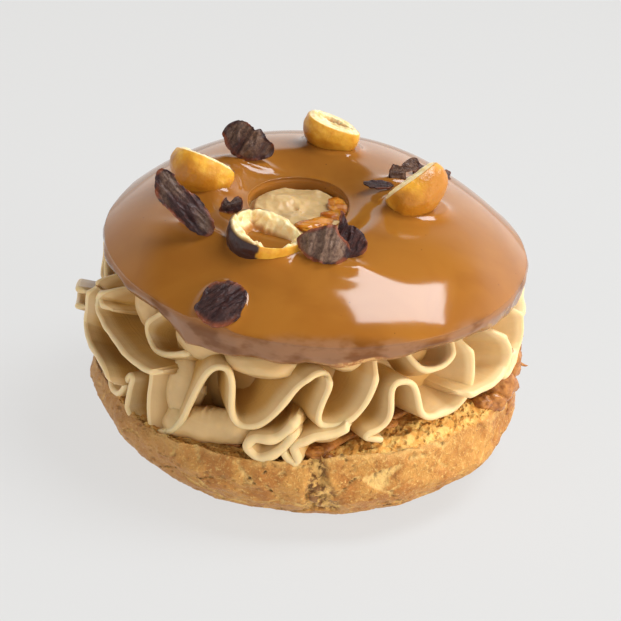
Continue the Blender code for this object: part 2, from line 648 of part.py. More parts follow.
def topping_frame(x, y, height, heading, roll, pitch):
    """Where a topping sits: over a point of the glaze, turned from level with the lid."""
    x, y = x * MM, y * MM
    return (LID_FRAME @ Matrix.Translation((x, y, lid_height(x, y) + height * MM))
            @ Matrix.Rotation(math.radians(heading), 4, "Z") @ Matrix.Rotation(math.radians(pitch), 4, "Y")
            @ Matrix.Rotation(math.radians(roll), 4, "X"))


def make_top(glaze, nut, skin):
    """The lid with a hollow under each nut, the nuts sunk in it and the flakes lying on it."""
    lid = add_object("choux_top", make_lid(), glaze)
    for index, (x, y, height, heading, roll, pitch, size) in enumerate(NUTS, start=1):
        frame = topping_frame(x, y, height, heading, roll, pitch)
        hollow = nut_mesh("hollow", size, grow=1.2 * GAP)
        hollow.transform(frame)
        cut(lid, hollow)
        mesh = nut_mesh(f"hazelnut_{index}", size)
        mesh.transform(frame)
        add_object(f"hazelnut_{index}", mesh, nut)
    for index, (place, cup, outline) in enumerate(SKINS, start=1):
        mesh = skin_mesh(f"nut_skin_{index}", cup, outline)
        mesh.transform(topping_frame(*place))
        add_object(f"nut_skin_{index}", mesh, skin)


def build():
    clear_scene()
    crust = material("choux", (0.50, 0.25, 0.08), 0.6, 0.05)
    praline = material("praline", (0.30, 0.11, 0.03), 0.25)
    cream = material("cream", (0.60, 0.40, 0.19), 0.45, 0.2)
    glaze = material("caramel_glaze", (0.40, 0.16, 0.04), 0.12, 0.05)
    nut = material("hazelnut", (0.78, 0.50, 0.17), 0.4, 0.1)
    skin = material("hazelnut_skin", (0.07, 0.03, 0.02), 0.6)
    add_object("choux_base", make_base(), crust)
    add_object("praline_layer", make_praline(), praline)
    make_cream(cream)
    make_top(glaze, nut, skin)


build()
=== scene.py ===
"""Looks of the Paris-Brest: baked choux, piped praline cream, caramel glaze, hazelnuts and skins."""
import json
import math
import random

import bmesh
import bpy
import numpy as np
from mathutils import Matrix, Vector, noise

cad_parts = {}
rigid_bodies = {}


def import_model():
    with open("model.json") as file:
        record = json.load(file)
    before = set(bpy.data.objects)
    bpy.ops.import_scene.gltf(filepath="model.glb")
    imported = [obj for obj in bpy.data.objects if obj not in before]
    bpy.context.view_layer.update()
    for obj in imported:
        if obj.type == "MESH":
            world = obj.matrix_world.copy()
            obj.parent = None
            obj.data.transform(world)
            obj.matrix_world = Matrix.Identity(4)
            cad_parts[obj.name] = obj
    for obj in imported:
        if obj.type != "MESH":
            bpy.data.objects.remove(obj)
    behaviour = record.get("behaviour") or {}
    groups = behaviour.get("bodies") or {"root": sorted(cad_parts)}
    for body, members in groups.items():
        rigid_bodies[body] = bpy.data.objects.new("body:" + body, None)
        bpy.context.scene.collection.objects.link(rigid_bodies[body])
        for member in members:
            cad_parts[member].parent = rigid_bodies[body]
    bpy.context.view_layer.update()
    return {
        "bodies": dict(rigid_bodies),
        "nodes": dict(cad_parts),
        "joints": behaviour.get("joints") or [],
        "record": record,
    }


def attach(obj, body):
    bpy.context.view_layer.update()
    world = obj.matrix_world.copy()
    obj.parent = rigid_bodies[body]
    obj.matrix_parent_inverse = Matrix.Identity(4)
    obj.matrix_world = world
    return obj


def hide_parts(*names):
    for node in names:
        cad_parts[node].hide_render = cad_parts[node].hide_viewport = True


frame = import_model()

MM = 0.001


# ---------------------------------------------------------------- helpers

def polar(angle, radius, height):
    """Point from its angle round the axis (degrees from the front), radius and height."""
    turn = math.radians(angle)
    return Vector((radius * math.sin(turn), -radius * math.cos(turn), height))


def smoothstep(value):
    t = np.clip(value, 0.0, 1.0)
    return t * t * (3.0 - 2.0 * t)


def mix(a, b, t):
    return a + (b - a) * t


def bell(value, centre, spread):
    return np.exp(-((value - centre) / spread) ** 2)


def relief(points, size, seed, octaves=1):
    """Fractal noise, about -1 to 1, at each of an array of points; size is that of its lumps."""
    shift = Vector((1.31 * seed, 2.3 * seed, 0.7 * seed))
    flat = points.reshape(-1, 3) / size
    if octaves == 1:
        values = [noise.noise(Vector(p) + shift) for p in flat]
    else:
        values = [noise.fractal(Vector(p) + shift, 1.0, 2.0, octaves) for p in flat]
    return np.array(values).reshape(points.shape[:-1])


def cells(points, size, seed):
    """Distance to the border between random cells (0 on it), and a random number for each cell."""
    shift = Vector((1.7 * seed, 0.9 * seed, 2.1 * seed))
    border, tint = [], []
    for p in points.reshape(-1, 3) / size:
        near, spots = noise.voronoi(Vector(p) + shift)
        border.append(near[1] - near[0])
        tint.append(noise.cell(spots[0] * 7.0))
    shape = points.shape[:-1]
    return np.array(border).reshape(shape), np.array(tint).reshape(shape)


def add_mesh(name, points, faces, mat, masks=None):
    """A smooth-shaded mesh object; masks are named numbers for each vertex."""
    mesh = bpy.data.meshes.new(name)
    mesh.from_pydata(points.tolist(), [], faces)
    for key, values in (masks or {}).items():
        layer = mesh.attributes.new(key, "FLOAT", "POINT")
        layer.data.foreach_set("value", np.ascontiguousarray(values, dtype=np.float32).ravel())
    mesh.shade_smooth()
    mesh.materials.append(mat)
    obj = bpy.data.objects.new(name, mesh)
    bpy.context.scene.collection.objects.link(obj)
    return obj


def grid_faces(rows, columns, wrap_rows=False, start=0):
    """Quads of a grid whose columns close round; the rows may close as well."""
    faces = []
    for i in range(rows if wrap_rows else rows - 1):
        low, high = start + i * columns, start + (i + 1) % rows * columns
        for k in range(columns):
            m = (k + 1) % columns
            faces.append((low + k, low + m, high + m, high + k))
    return faces


def place(obj, slot, *nodes):
    """Hang a piece on the one body and let it stand for CAD nodes, which are hidden; slot is not used."""
    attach(obj, "root")
    if nodes:
        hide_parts(*nodes)


# ---------------------------------------------------------------- materials

class Shader:
    """Short calls for building one material's nodes."""

    def __init__(self, name, roughness, subsurface=0.0, radius=(0.002, 0.001, 0.0005), ior=1.45):
        self.mat = bpy.data.materials.new(name)
        self.mat.use_nodes = True
        self.tree = self.mat.node_tree
        self.bsdf = self.tree.nodes["Principled BSDF"]
        self.bsdf.inputs["Roughness"].default_value = roughness
        self.bsdf.inputs["IOR"].default_value = ior
        self.bsdf.inputs["Subsurface Weight"].default_value = subsurface
        self.bsdf.inputs["Subsurface Radius"].default_value = radius
        self.bsdf.inputs["Subsurface Scale"].default_value = 1.0
        self.place = self.node("ShaderNodeTexCoord").outputs["Object"]

    def node(self, kind, **settings):
        node = self.tree.nodes.new(kind)
        for key, value in settings.items():
            setattr(node, key, value)
        return node

    def link(self, source, target):
        if isinstance(source, (int, float)):
            target.default_value = source
        elif isinstance(source, tuple):
            target.default_value = (*source, 1.0)
        else:
            self.tree.links.new(source, target)

    def mask(self, name):
        return self.node("ShaderNodeAttribute", attribute_name=name).outputs["Fac"]

    def noise(self, size, detail=3.0, stretch=None, roughness=0.55, distortion=0.0):
        """Noise whose lumps have the given size; stretch squeezes it along the axes."""
        node = self.node("ShaderNodeTexNoise")
        node.inputs["Scale"].default_value = 1.0 / size
        node.inputs["Detail"].default_value = detail
        node.inputs["Roughness"].default_value = roughness
        node.inputs["Distortion"].default_value = distortion
        source = self.place
        if stretch:
            mapping = self.node("ShaderNodeMapping")
            mapping.inputs["Scale"].default_value = stretch
            self.link(self.place, mapping.inputs["Vector"])
            source = mapping.outputs["Vector"]
        self.link(source, node.inputs["Vector"])
        return node.outputs["Fac"]

    def cells(self, size, feature="F1", jitter=1.0):
        node = self.node("ShaderNodeTexVoronoi", feature=feature)
        node.inputs["Scale"].default_value = 1.0 / size
        node.inputs["Randomness"].default_value = jitter
        self.link(self.place, node.inputs["Vector"])
        return node.outputs["Distance"]

    def ramp(self, source, low, high, to_low=0.0, to_high=1.0):
        node = self.node("ShaderNodeMapRange", interpolation_type="SMOOTHSTEP")
        for key, value in (("From Min", low), ("From Max", high), ("To Min", to_low), ("To Max", to_high)):
            node.inputs[key].default_value = value
        self.link(source, node.inputs["Value"])
        return node.outputs["Result"]

    def math(self, kind, a, b=0.0):
        node = self.node("ShaderNodeMath", operation=kind)
        self.link(a, node.inputs[0])
        self.link(b, node.inputs[1])
        return node.outputs["Value"]

    def blend(self, share, a, b):
        """Colour a turning into colour b."""
        node = self.node("ShaderNodeMix", data_type="RGBA")
        self.link(share, node.inputs["Factor"])
        self.link(a, node.inputs["A"])
        self.link(b, node.inputs["B"])
        return node.outputs["Result"]

    def colour(self, source):
        self.link(source, self.bsdf.inputs["Base Color"])

    def bump(self, *layers):
        """Stack bumps of (height source, depth in metres)."""
        normal = None
        for source, depth in layers:
            node = self.node("ShaderNodeBump")
            node.inputs["Strength"].default_value = 1.0
            node.inputs["Distance"].default_value = depth
            self.link(source, node.inputs["Height"])
            if normal is not None:
                self.link(normal, node.inputs["Normal"])
            normal = node.outputs["Normal"]
        self.link(normal, self.bsdf.inputs["Normal"])


def crust_material():
    """Baked choux: orange-brown patches, yellow splits, open crumb where it is cut or torn."""
    s = Shader("choux_crust", 0.50, 0.08, (0.0015, 0.0007, 0.0003))
    patch = s.noise(6 * MM, 4.0, distortion=0.5)
    fine = s.noise(0.8 * MM, 4.0, roughness=0.7)
    golden = s.blend(s.ramp(patch, 0.38, 0.62), (0.58, 0.275, 0.062), (0.44, 0.170, 0.032))
    golden = s.blend(s.ramp(fine, 0.52, 0.68), golden, (0.70, 0.42, 0.13))
    golden = s.blend(s.ramp(s.noise(0.6 * MM, 3.0), 0.60, 0.72), golden, (0.34, 0.14, 0.03))
    # greyer, duller crust on the left: partly its own tone, partly painted shade on the side away from the light
    golden = s.blend(s.mask("dull_and_shade"), golden, (0.47, 0.235, 0.075))
    golden = s.blend(s.mask("split"), golden, (0.80, 0.50, 0.17))
    pores = s.cells(1.3 * MM)
    crumb = s.blend(s.ramp(s.noise(1.6 * MM, 5.0, roughness=0.65), 0.40, 0.64),
                    (0.74, 0.34, 0.065), (0.90, 0.57, 0.17))
    # crumb darker at the middle of each cell, where the bump dips: painted shade in its pores
    crumb = s.blend(s.ramp(pores, 0.22, 0.06), crumb, (0.58, 0.25, 0.04))
    crumb = s.blend(s.math("MULTIPLY", s.mask("dull_and_shade"), 0.4), crumb, (0.46, 0.26, 0.095))
    torn = s.blend(s.ramp(s.noise(2.4 * MM, 4.0, roughness=0.7), 0.42, 0.54), (0.27, 0.125, 0.04), (0.74, 0.43, 0.13))
    colour = s.blend(s.mask("crumb"), golden, crumb)
    colour = s.blend(s.mask("torn"), colour, torn)
    # near-black in pores and pits: painted shade in the holes
    s.colour(s.blend(s.mask("pore"), colour, (0.09, 0.04, 0.015)))
    s.bump((fine, 0.0005), (s.noise(0.35 * MM, 3.0), 0.00016),
           (s.math("MULTIPLY", s.mask("crumb"), s.ramp(pores, 0.1, 0.45)), 0.0005))
    return s.mat


def cream_material():
    """Praline cream: pale along the piped edges, partly drier cream and partly painted highlight, and browner deep in
    the folds, which is painted shade.
    """
    s = Shader("praline_cream", 0.34, 0.22, (0.0018, 0.0010, 0.0004), ior=1.5)
    tone = s.noise(8 * MM, 3.0)
    face = s.blend(s.ramp(tone, 0.35, 0.65), (0.58, 0.375, 0.160), (0.66, 0.43, 0.185))
    # paler within 0.9 mm of the piped edge: partly drier cream, partly a painted highlight
    face = s.blend(s.ramp(s.mask("deep"), 0.9 * MM, 0.2 * MM), face, (0.76, 0.555, 0.28))
    # browner from 2.5 to 10.5 mm in from the edge: painted shade deep in the folds
    s.colour(s.blend(s.ramp(s.mask("deep"), 2.5 * MM, 10.5 * MM), face, (0.44, 0.230, 0.055)))
    waves = []
    for mask, size in (("along", 0.9 * MM), ("deep", 1.1 * MM)):
        lines = s.node("ShaderNodeTexNoise", noise_dimensions="1D")
        lines.inputs["Scale"].default_value = 1.0 / size
        lines.inputs["Detail"].default_value = 2.0
        s.link(s.mask(mask), lines.inputs["W"])
        waves.append(lines.outputs["Fac"])
    s.bump((waves[0], 0.00004), (waves[1], 0.00005), (s.noise(0.8 * MM, 3.0), 0.00004))
    return s.mat


def glaze_material():
    """Caramel glaze: thin down the side, where its greyish tone is partly a painted reflection of the pale floor,
    patchy at the lip, where the choux shows through.
    """
    s = Shader("caramel_glaze", 0.09, 0.10, (0.003, 0.0012, 0.0004))
    cloud = s.noise(16 * MM, 3.0, distortion=0.6)
    specks = s.cells(4.2 * MM)
    caramel = s.blend(s.ramp(cloud, 0.35, 0.7), (0.335, 0.125, 0.017), (0.285, 0.10, 0.013))
    caramel = s.blend(s.ramp(specks, 0.06, 0.02), caramel, (0.16, 0.05, 0.01))
    slits = s.ramp(s.noise(8 * MM, 3.0, stretch=(1.0, 1.0, 2.0)), 0.44, 0.66)
    # thin band: muted greyish brown, partly thin glaze over choux and partly a painted reflection of the pale floor
    thin = s.blend(slits, (0.27, 0.125, 0.055), (0.16, 0.052, 0.007))
    caramel = s.blend(s.mask("thin"), caramel, thin)
    choux = s.blend(s.ramp(s.noise(1.3 * MM, 4.0), 0.4, 0.6), (0.40, 0.16, 0.05), (0.66, 0.37, 0.14))
    s.colour(s.blend(s.mask("bare"), caramel, choux))
    rough = s.math("MAXIMUM", s.ramp(s.mask("bare"), 0.0, 1.0, 0.09, 0.5), s.ramp(s.mask("thin"), 0.0, 1.0, 0.09, 0.17))
    s.link(rough, s.bsdf.inputs["Roughness"])
    s.bump((cloud, 0.00006), (s.math("MULTIPLY", s.mask("bare"), s.noise(0.8 * MM, 4.0)), 0.0004))
    return s.mat


# ---------------------------------------------------------------- choux base

BASE_SECTORS = 600
BASE_STEPS = [4, 10, 14, 16, 14, 10, 12, 6, 12, 10]     # rows from each knot of the outline to the next
BASE_OUTLINE = [(30.0, 0.0), (34.0, 0.0), (38.5, 1.3), (43.5, 4.8), (47.6, 9.0), (49.7, 12.8), (50.0, 15.6)]


def base_rim(angle):
    turn = np.radians(angle)
    wave = 0.9 * np.sin(3.0 * turn + 0.6) + 0.5 * np.sin(7.0 * turn)
    return 19.2 + 1.9 * np.sin(turn + 0.35) + wave + 1.6 * bell(angle, -72.0, 14.0)


def base_cut(x, radius, angle):
    """Height of the crumb: level, tilted to the right and banked up against the cream there."""
    bank = 4.2 * bell(angle, 42.0, 28.0) * smoothstep((50.0 - radius) / 6.0)
    left = 3.4 * bell(angle, -70.0, 24.0)
    return 19.4 + 0.075 * x + bank + left


def spline(knots, steps):
    """Points on a Catmull-Rom curve; knots is an array (knot, sector, coordinate)."""
    padded = np.concatenate([2 * knots[:1] - knots[1:2], knots, 2 * knots[-1:] - knots[-2:-1]])
    rows = []
    for i, count in enumerate(steps):
        a, b, c, d = padded[i:i + 4]
        for t in np.linspace(0.0, 1.0, count, endpoint=False):
            rows.append(0.5 * (2 * b + (c - a) * t + (2 * a - 5 * b + 4 * c - d) * t * t
                               + (3 * b - a - 3 * c + d) * t ** 3))
    rows.append(knots[-1])
    return np.array(rows)


def make_base(mat):
    angle = np.linspace(-180.0, 180.0, BASE_SECTORS, endpoint=False)
    side = np.sin(np.radians(angle))
    swell = 0.9 * bell(angle, 45.0, 22.0) + 0.5 * bell(angle, -32.0, 14.0) - 0.7 * bell(angle, -75.0, 25.0)
    knots = []
    for index, (radius, height) in enumerate(BASE_OUTLINE):
        grown = radius + swell * (1.0 if 1 < index < 6 else 0.0)
        knots.append(np.stack([grown, np.full_like(angle, height)], -1))
    around = np.array([tuple(polar(a, 49.0, 0.0)) for a in angle])
    rim = base_rim(angle) + 0.5 * relief(around, 6.0, 13.0) + 0.45 * relief(around, 2.2, 15.0)
    knots.append(np.stack([np.full_like(angle, 49.3), rim], -1))
    for radius in (48.4, 45.5, 42.0):
        knots.append(np.stack([np.full_like(angle, radius), base_cut(radius * side, radius, angle)], -1))
    rows = spline(np.array(knots), BASE_STEPS)
    radius, height = rows[..., 0], rows[..., 1]
    turn = np.radians(np.broadcast_to(angle, radius.shape))
    bare = np.stack([radius * np.sin(turn), -radius * np.cos(turn), height], -1)

    wall = smoothstep((height - 0.4) / 2.0)
    inside = smoothstep((np.arange(len(rows))[:, None] - sum(BASE_STEPS[:7]) - 2.0) / 6.0) * np.ones_like(radius)
    lumps = relief(bare, 14.0, 3.0) * 1.0 + relief(bare, 6.0, 5.0) * 0.6
    rough = relief(bare, 1.9, 9.0, 3) * 0.32
    wander = relief(bare, 2.2, 21.0, 2)
    drift = relief(bare, 5.0, 23.0) * 1.6
    border, tint = cells(bare * (1.0, 1.0, 1.9) + drift[..., None], 13.0, 2.0)
    wide = 0.030 + 0.045 * smoothstep(relief(bare, 8.0, 25.0) * 2.0)
    split = smoothstep((wide - np.abs(border + 0.05 * wander)) / 0.028)
    where = smoothstep((relief(bare, 18.0, 31.0) + 0.12 + 0.45 * bell(angle, 22.0, 14.0)
                        + 0.3 * bell(angle, -30.0, 20.0)) * 4.0)
    split = split * where * (1.0 - inside) * wall
    where = smoothstep((relief(bare, 3.0, 29.0) + 0.5) * 3.0)
    split = split * where
    pits = smoothstep((relief(bare, 1.3, 47.0) - 0.42) * 8.0) * (1.0 - inside) * wall
    pores = split * smoothstep((relief(bare, 0.9, 41.0) - 0.10) * 6.0) * smoothstep(
        (relief(bare, 6.0, 43.0) - 0.02) * 6.0)

    level = height / rim
    notch = (smoothstep((angle - 1.8 + 0.8 * wander) / 1.0) * smoothstep((14.5 - 8.0 * level - angle + 1.4 * wander) / 1.6)
             * smoothstep((height - 4.5 + 1.5 * wander) / 2.5))
    notch = notch * (1.0 - 0.5 * inside)
    holes = relief(bare, 2.6, 51.0, 3)
    fold = 0.35 * np.sin(height * 0.9 + 3.0 * relief(bare, 9.0, 27.0)) * bell(angle, -25.0, 25.0)
    out = wall * (lumps + rough + fold) - 0.45 * split - 0.5 * pores - 0.3 * pits
    out = out - notch * (1.1 + 1.1 * smoothstep(holes * 2.5))
    crumb_rough = relief(bare, 1.5, 61.0, 4)
    out = out * (1.0 - inside)
    lift = inside * (0.55 * crumb_rough - 0.5 * smoothstep((relief(bare, 2.4, 63.0, 2) - 0.15) * 5.0))
    lift = lift * smoothstep((radius - 40.0) / 4.0)

    radius = radius + out
    points = np.stack([radius * np.sin(turn), -radius * np.cos(turn), height + lift], -1) * MM
    count = len(points)
    faces = grid_faces(count, BASE_SECTORS)
    flat = points.reshape(-1, 3)
    ends = np.array([[0.0, 0.0, 0.0], [0.0, 0.0, 19.4 * MM]])
    bottom, top = len(flat), len(flat) + 1
    last = (count - 1) * BASE_SECTORS
    for k in range(BASE_SECTORS):
        m = (k + 1) % BASE_SECTORS
        faces.append((m, k, bottom))
        faces.append((last + k, last + m, top))
    # edge: the rim's top, which gets 0.35 of the pale split colour: a painted highlight along the rim
    edge = bell(height, rim, 1.0) * smoothstep((relief(bare, 9.0, 71.0) + 0.3) * 3.0) * (1.0 - inside)
    # rises towards the left side: greyer crust there, partly its own tone and partly painted shade where less light
    # falls
    dull_and_shade = smoothstep((-side - 0.1) * 1.2) * (0.6 + 0.4 * smoothstep(tint * 2.0))
    # pore mask: pores in the splits and pits, which the crust material paints near-black as shade
    masks = dict(split=np.maximum(split, 0.35 * edge), pore=np.maximum(pores, 0.3 * pits), crumb=inside, dull_and_shade=dull_and_shade * 0.7,
                 torn=np.maximum(notch, 0.2 * inside * bell(angle, -12.0, 20.0)))
    masks = {key: np.append(values, (0.0, 0.0)) for key, values in masks.items()}
    obj = add_mesh("choux_base_crust", np.concatenate([flat, ends]), faces, mat, masks)
    place(obj, "choux", "choux_base")


# ---------------------------------------------------------------- choux top and its glaze

LID_SECTORS = 640
LID_RADIUS = 48.75
LID_FRAME = (Matrix.Translation((0.0, 0.0, 49.3 * MM)) @ Matrix.Rotation(math.radians(0.9), 4, "Y")
             @ Matrix.Rotation(math.radians(5.15), 4, "X"))
HOLE = (-4.5, -3.8)
HOLE_HALF = (11.3, 13.0)


# Where the glazed lip ends: angle, height in the lid's frame
LIP = [(-180, -3.2), (-140, -4.4), (-115, -3.0), (-90, -2.2), (-75, -1.1), (-55, -0.9), (-43, -0.5),
       (-39, -1.8), (-33, -4.8), (-28, -4.1), (-22, -3.8), (-12.6, -3.1), (-3, -3.1), (0, -2.5),
       (8.5, -3.0), (19, -1.9), (31, -1.2), (41, -0.9), (52, -1.9), (65, -3.2), (88, -4.2), (120, -3.2),
       (150, -4.4), (180, -3.2)]


def lid_radius(angle):
    return LID_RADIUS + 0.3 - 3.2 * bell(angle, 124.0, 28.0) - 2.0 * bell(angle, -115.0, 28.0)


def lid_height(x, y):
    """Height of the glaze in mm in the lid's own frame, which is level and centred on its axis."""
    share = np.minimum(1.0, np.hypot(x, y) / lid_radius(np.degrees(np.arctan2(x, -y))))
    dome = 3.0 + 12.5 * (1.0 - share ** 3.5)
    from_hole = np.hypot((x - HOLE[0]) / HOLE_HALF[0], (y - HOLE[1]) / HOLE_HALF[1])
    return dome - 3.0 * smoothstep(1.0 - (from_hole - 1.0) * HOLE_HALF[0] / 9.0)


def hole_edge(angle, shrink=0.0):
    turn = np.radians(angle)
    wobble = 1.0 + 0.03 * np.sin(3.0 * turn + 1.0)
    return np.stack([HOLE[0] + (HOLE_HALF[0] * wobble - shrink) * np.sin(turn),
                     HOLE[1] - (HOLE_HALF[1] * wobble - shrink) * np.cos(turn)], -1)


# Places where the glaze creeps up a topping: (x, y, half length, half width in mm, heading)
POOLS = [(-25.2, 2.0, 7.2, 5.0, -35), (1.9, 21.5, 7.0, 5.5, -32), (21.5, -4.5, 7.5, 5.0, 15),
         (-11.2, -25.5, 8.0, 6.0, -22), (-17.3, 11.0, 5.6, 1.4, -8), (-25.6, -20.8, 6.0, 1.2, -35),
         (3.0, -30.4, 6.5, 1.6, -4), (-19.3, -41.0, 5.0, 5.0, 0), (18.2, 7.0, 3.0, 1.0, 10)]


def pool_rise(x, y):
    """Meniscus: the glaze rises 0.9 mm to a topping within about 1 mm of it."""
    rise = np.zeros_like(x)
    for cx, cy, half_x, half_y, heading in POOLS:
        turn = math.radians(heading)
        u = ((x - cx) * math.cos(turn) + (y - cy) * math.sin(turn)) / half_x
        v = ((y - cy) * math.cos(turn) - (x - cx) * math.sin(turn)) / half_y
        beyond = (np.hypot(u, v) - 1.0) * min(half_x, half_y)
        rise = np.maximum(rise, 0.9 * np.exp(-np.maximum(beyond, 0.0) / 0.9))
    return rise


def make_lid(mat):
    angle = np.linspace(-180.0, 180.0, LID_SECTORS, endpoint=False)
    rim = lid_radius(angle)
    turn = np.radians(angle)
    outward = np.stack([np.sin(turn), -np.cos(turn)], -1)
    lip = np.interp(angle, *zip(*LIP)) + 0.5 * bell(angle, 0.0, 35.0) + 0.2 * np.sin(23.0 * turn + 1.0)
    knots = []
    for inset, level in ((9.0, -2.0), (5.6, -2.0), (3.2, mix(-2.0, lip, 0.7)), (1.8, lip), (0.8, lip + 1.0),
                         (0.15, np.maximum(0.6, lip + 2.0)), (0.0, np.maximum(1.9, lip + 2.7)), (0.35, 3.4)):
        spot = outward * (rim - inset)[:, None]
        height = np.broadcast_to(level, angle.shape)
        knots.append(np.concatenate([spot, height[:, None]], -1))
    rows = list(spline(np.array(knots), [3, 4, 6, 8, 8, 6, 5]))[:-1]
    hole = hole_edge(angle)
    outer = outward * rim[:, None]
    for share in 1.0 - np.linspace(0.0, 1.0, 104)[1:] ** 1.15:
        spot = hole + (outer - hole) * share
        height = lid_height(spot[:, 0], spot[:, 1])
        rows.append(np.concatenate([spot, height[:, None]], -1))
    for shrink, drop in ((-0.25, -0.15), (0.1, -0.6), (0.25, -1.3), (0.2, -2.6)):
        spot = hole_edge(angle, shrink)
        height = lid_height(hole[:, 0], hole[:, 1]) + drop
        rows.append(np.concatenate([spot, height[:, None]], -1))
    spot = hole_edge(angle, -0.5)
    rows.append(np.concatenate([spot, np.full((LID_SECTORS, 1), -2.0)], -1))
    points = np.array(rows)

    x, y, z = points[..., 0], points[..., 1], points[..., 2]
    across = np.hypot(x, y) / rim
    on_top = smoothstep((z - 1.0) / 3.0)
    inside_hole = np.hypot((x - HOLE[0]) / HOLE_HALF[0], (y - HOLE[1]) / HOLE_HALF[1])
    points[..., 2] += on_top * pool_rise(x, y) * smoothstep((inside_hole - 1.0) * 8.0)
    points[..., 2] += on_top * (0.16 * relief(points, 15.0, 4.0) + 0.035 * relief(points, 7.0, 6.0))
    side = (1.0 - on_top) * smoothstep((across - 0.90) / 0.06)
    dents = relief(points * (1.0, 1.0, 0.6), 5.0, 8.0, 2)
    push = side * (0.7 * relief(points * (1.0, 1.0, 0.3), 7.0, 10.0) + 0.2 * dents + 0.05 * relief(points, 2.2, 12.0))
    points[..., 0] += push * outward[:, 0]
    points[..., 1] += push * outward[:, 1]
    where = 1.2 * bell(angle, 13.0, 8.0) + 0.5 * bell(angle, 30.0, 4.0) + bell(angle, 96.0, 9.0) + 0.8 * bell(angle, -50.0, 5.0)
    patchy = np.clip(where + 0.7 * relief(points, 9.0, 14.0) + 0.15, 0.0, 1.0)
    bare = smoothstep((lip + 1.1 + 1.4 * bell(angle, 13.0, 7.0) - z + 0.9 * dents) / 0.8) * patchy * smoothstep((across - 0.88) / 0.04)
    bare = np.maximum(bare, smoothstep((0.90 - across) / 0.02) * smoothstep((0.0 - z) / 1.0))
    # thin: the band down the side, coloured greyish partly as a painted reflection of the floor
    high = 3.6 + 1.6 * bell(angle, 8.0, 30.0)
    thin = smoothstep((high - z + 1.2 * relief(points, 9.0, 16.0)) / 2.0) * smoothstep((across - 0.88) / 0.04)
    flat = points.reshape(-1, 3) * MM
    faces = grid_faces(len(points), LID_SECTORS, wrap_rows=True)
    obj = add_mesh("caramel_glazed_top", flat, faces, mat, dict(bare=bare, thin=thin))
    obj.data.transform(LID_FRAME)
    place(obj, "caramel_glaze", "choux_top")


# ---------------------------------------------------------------- cream

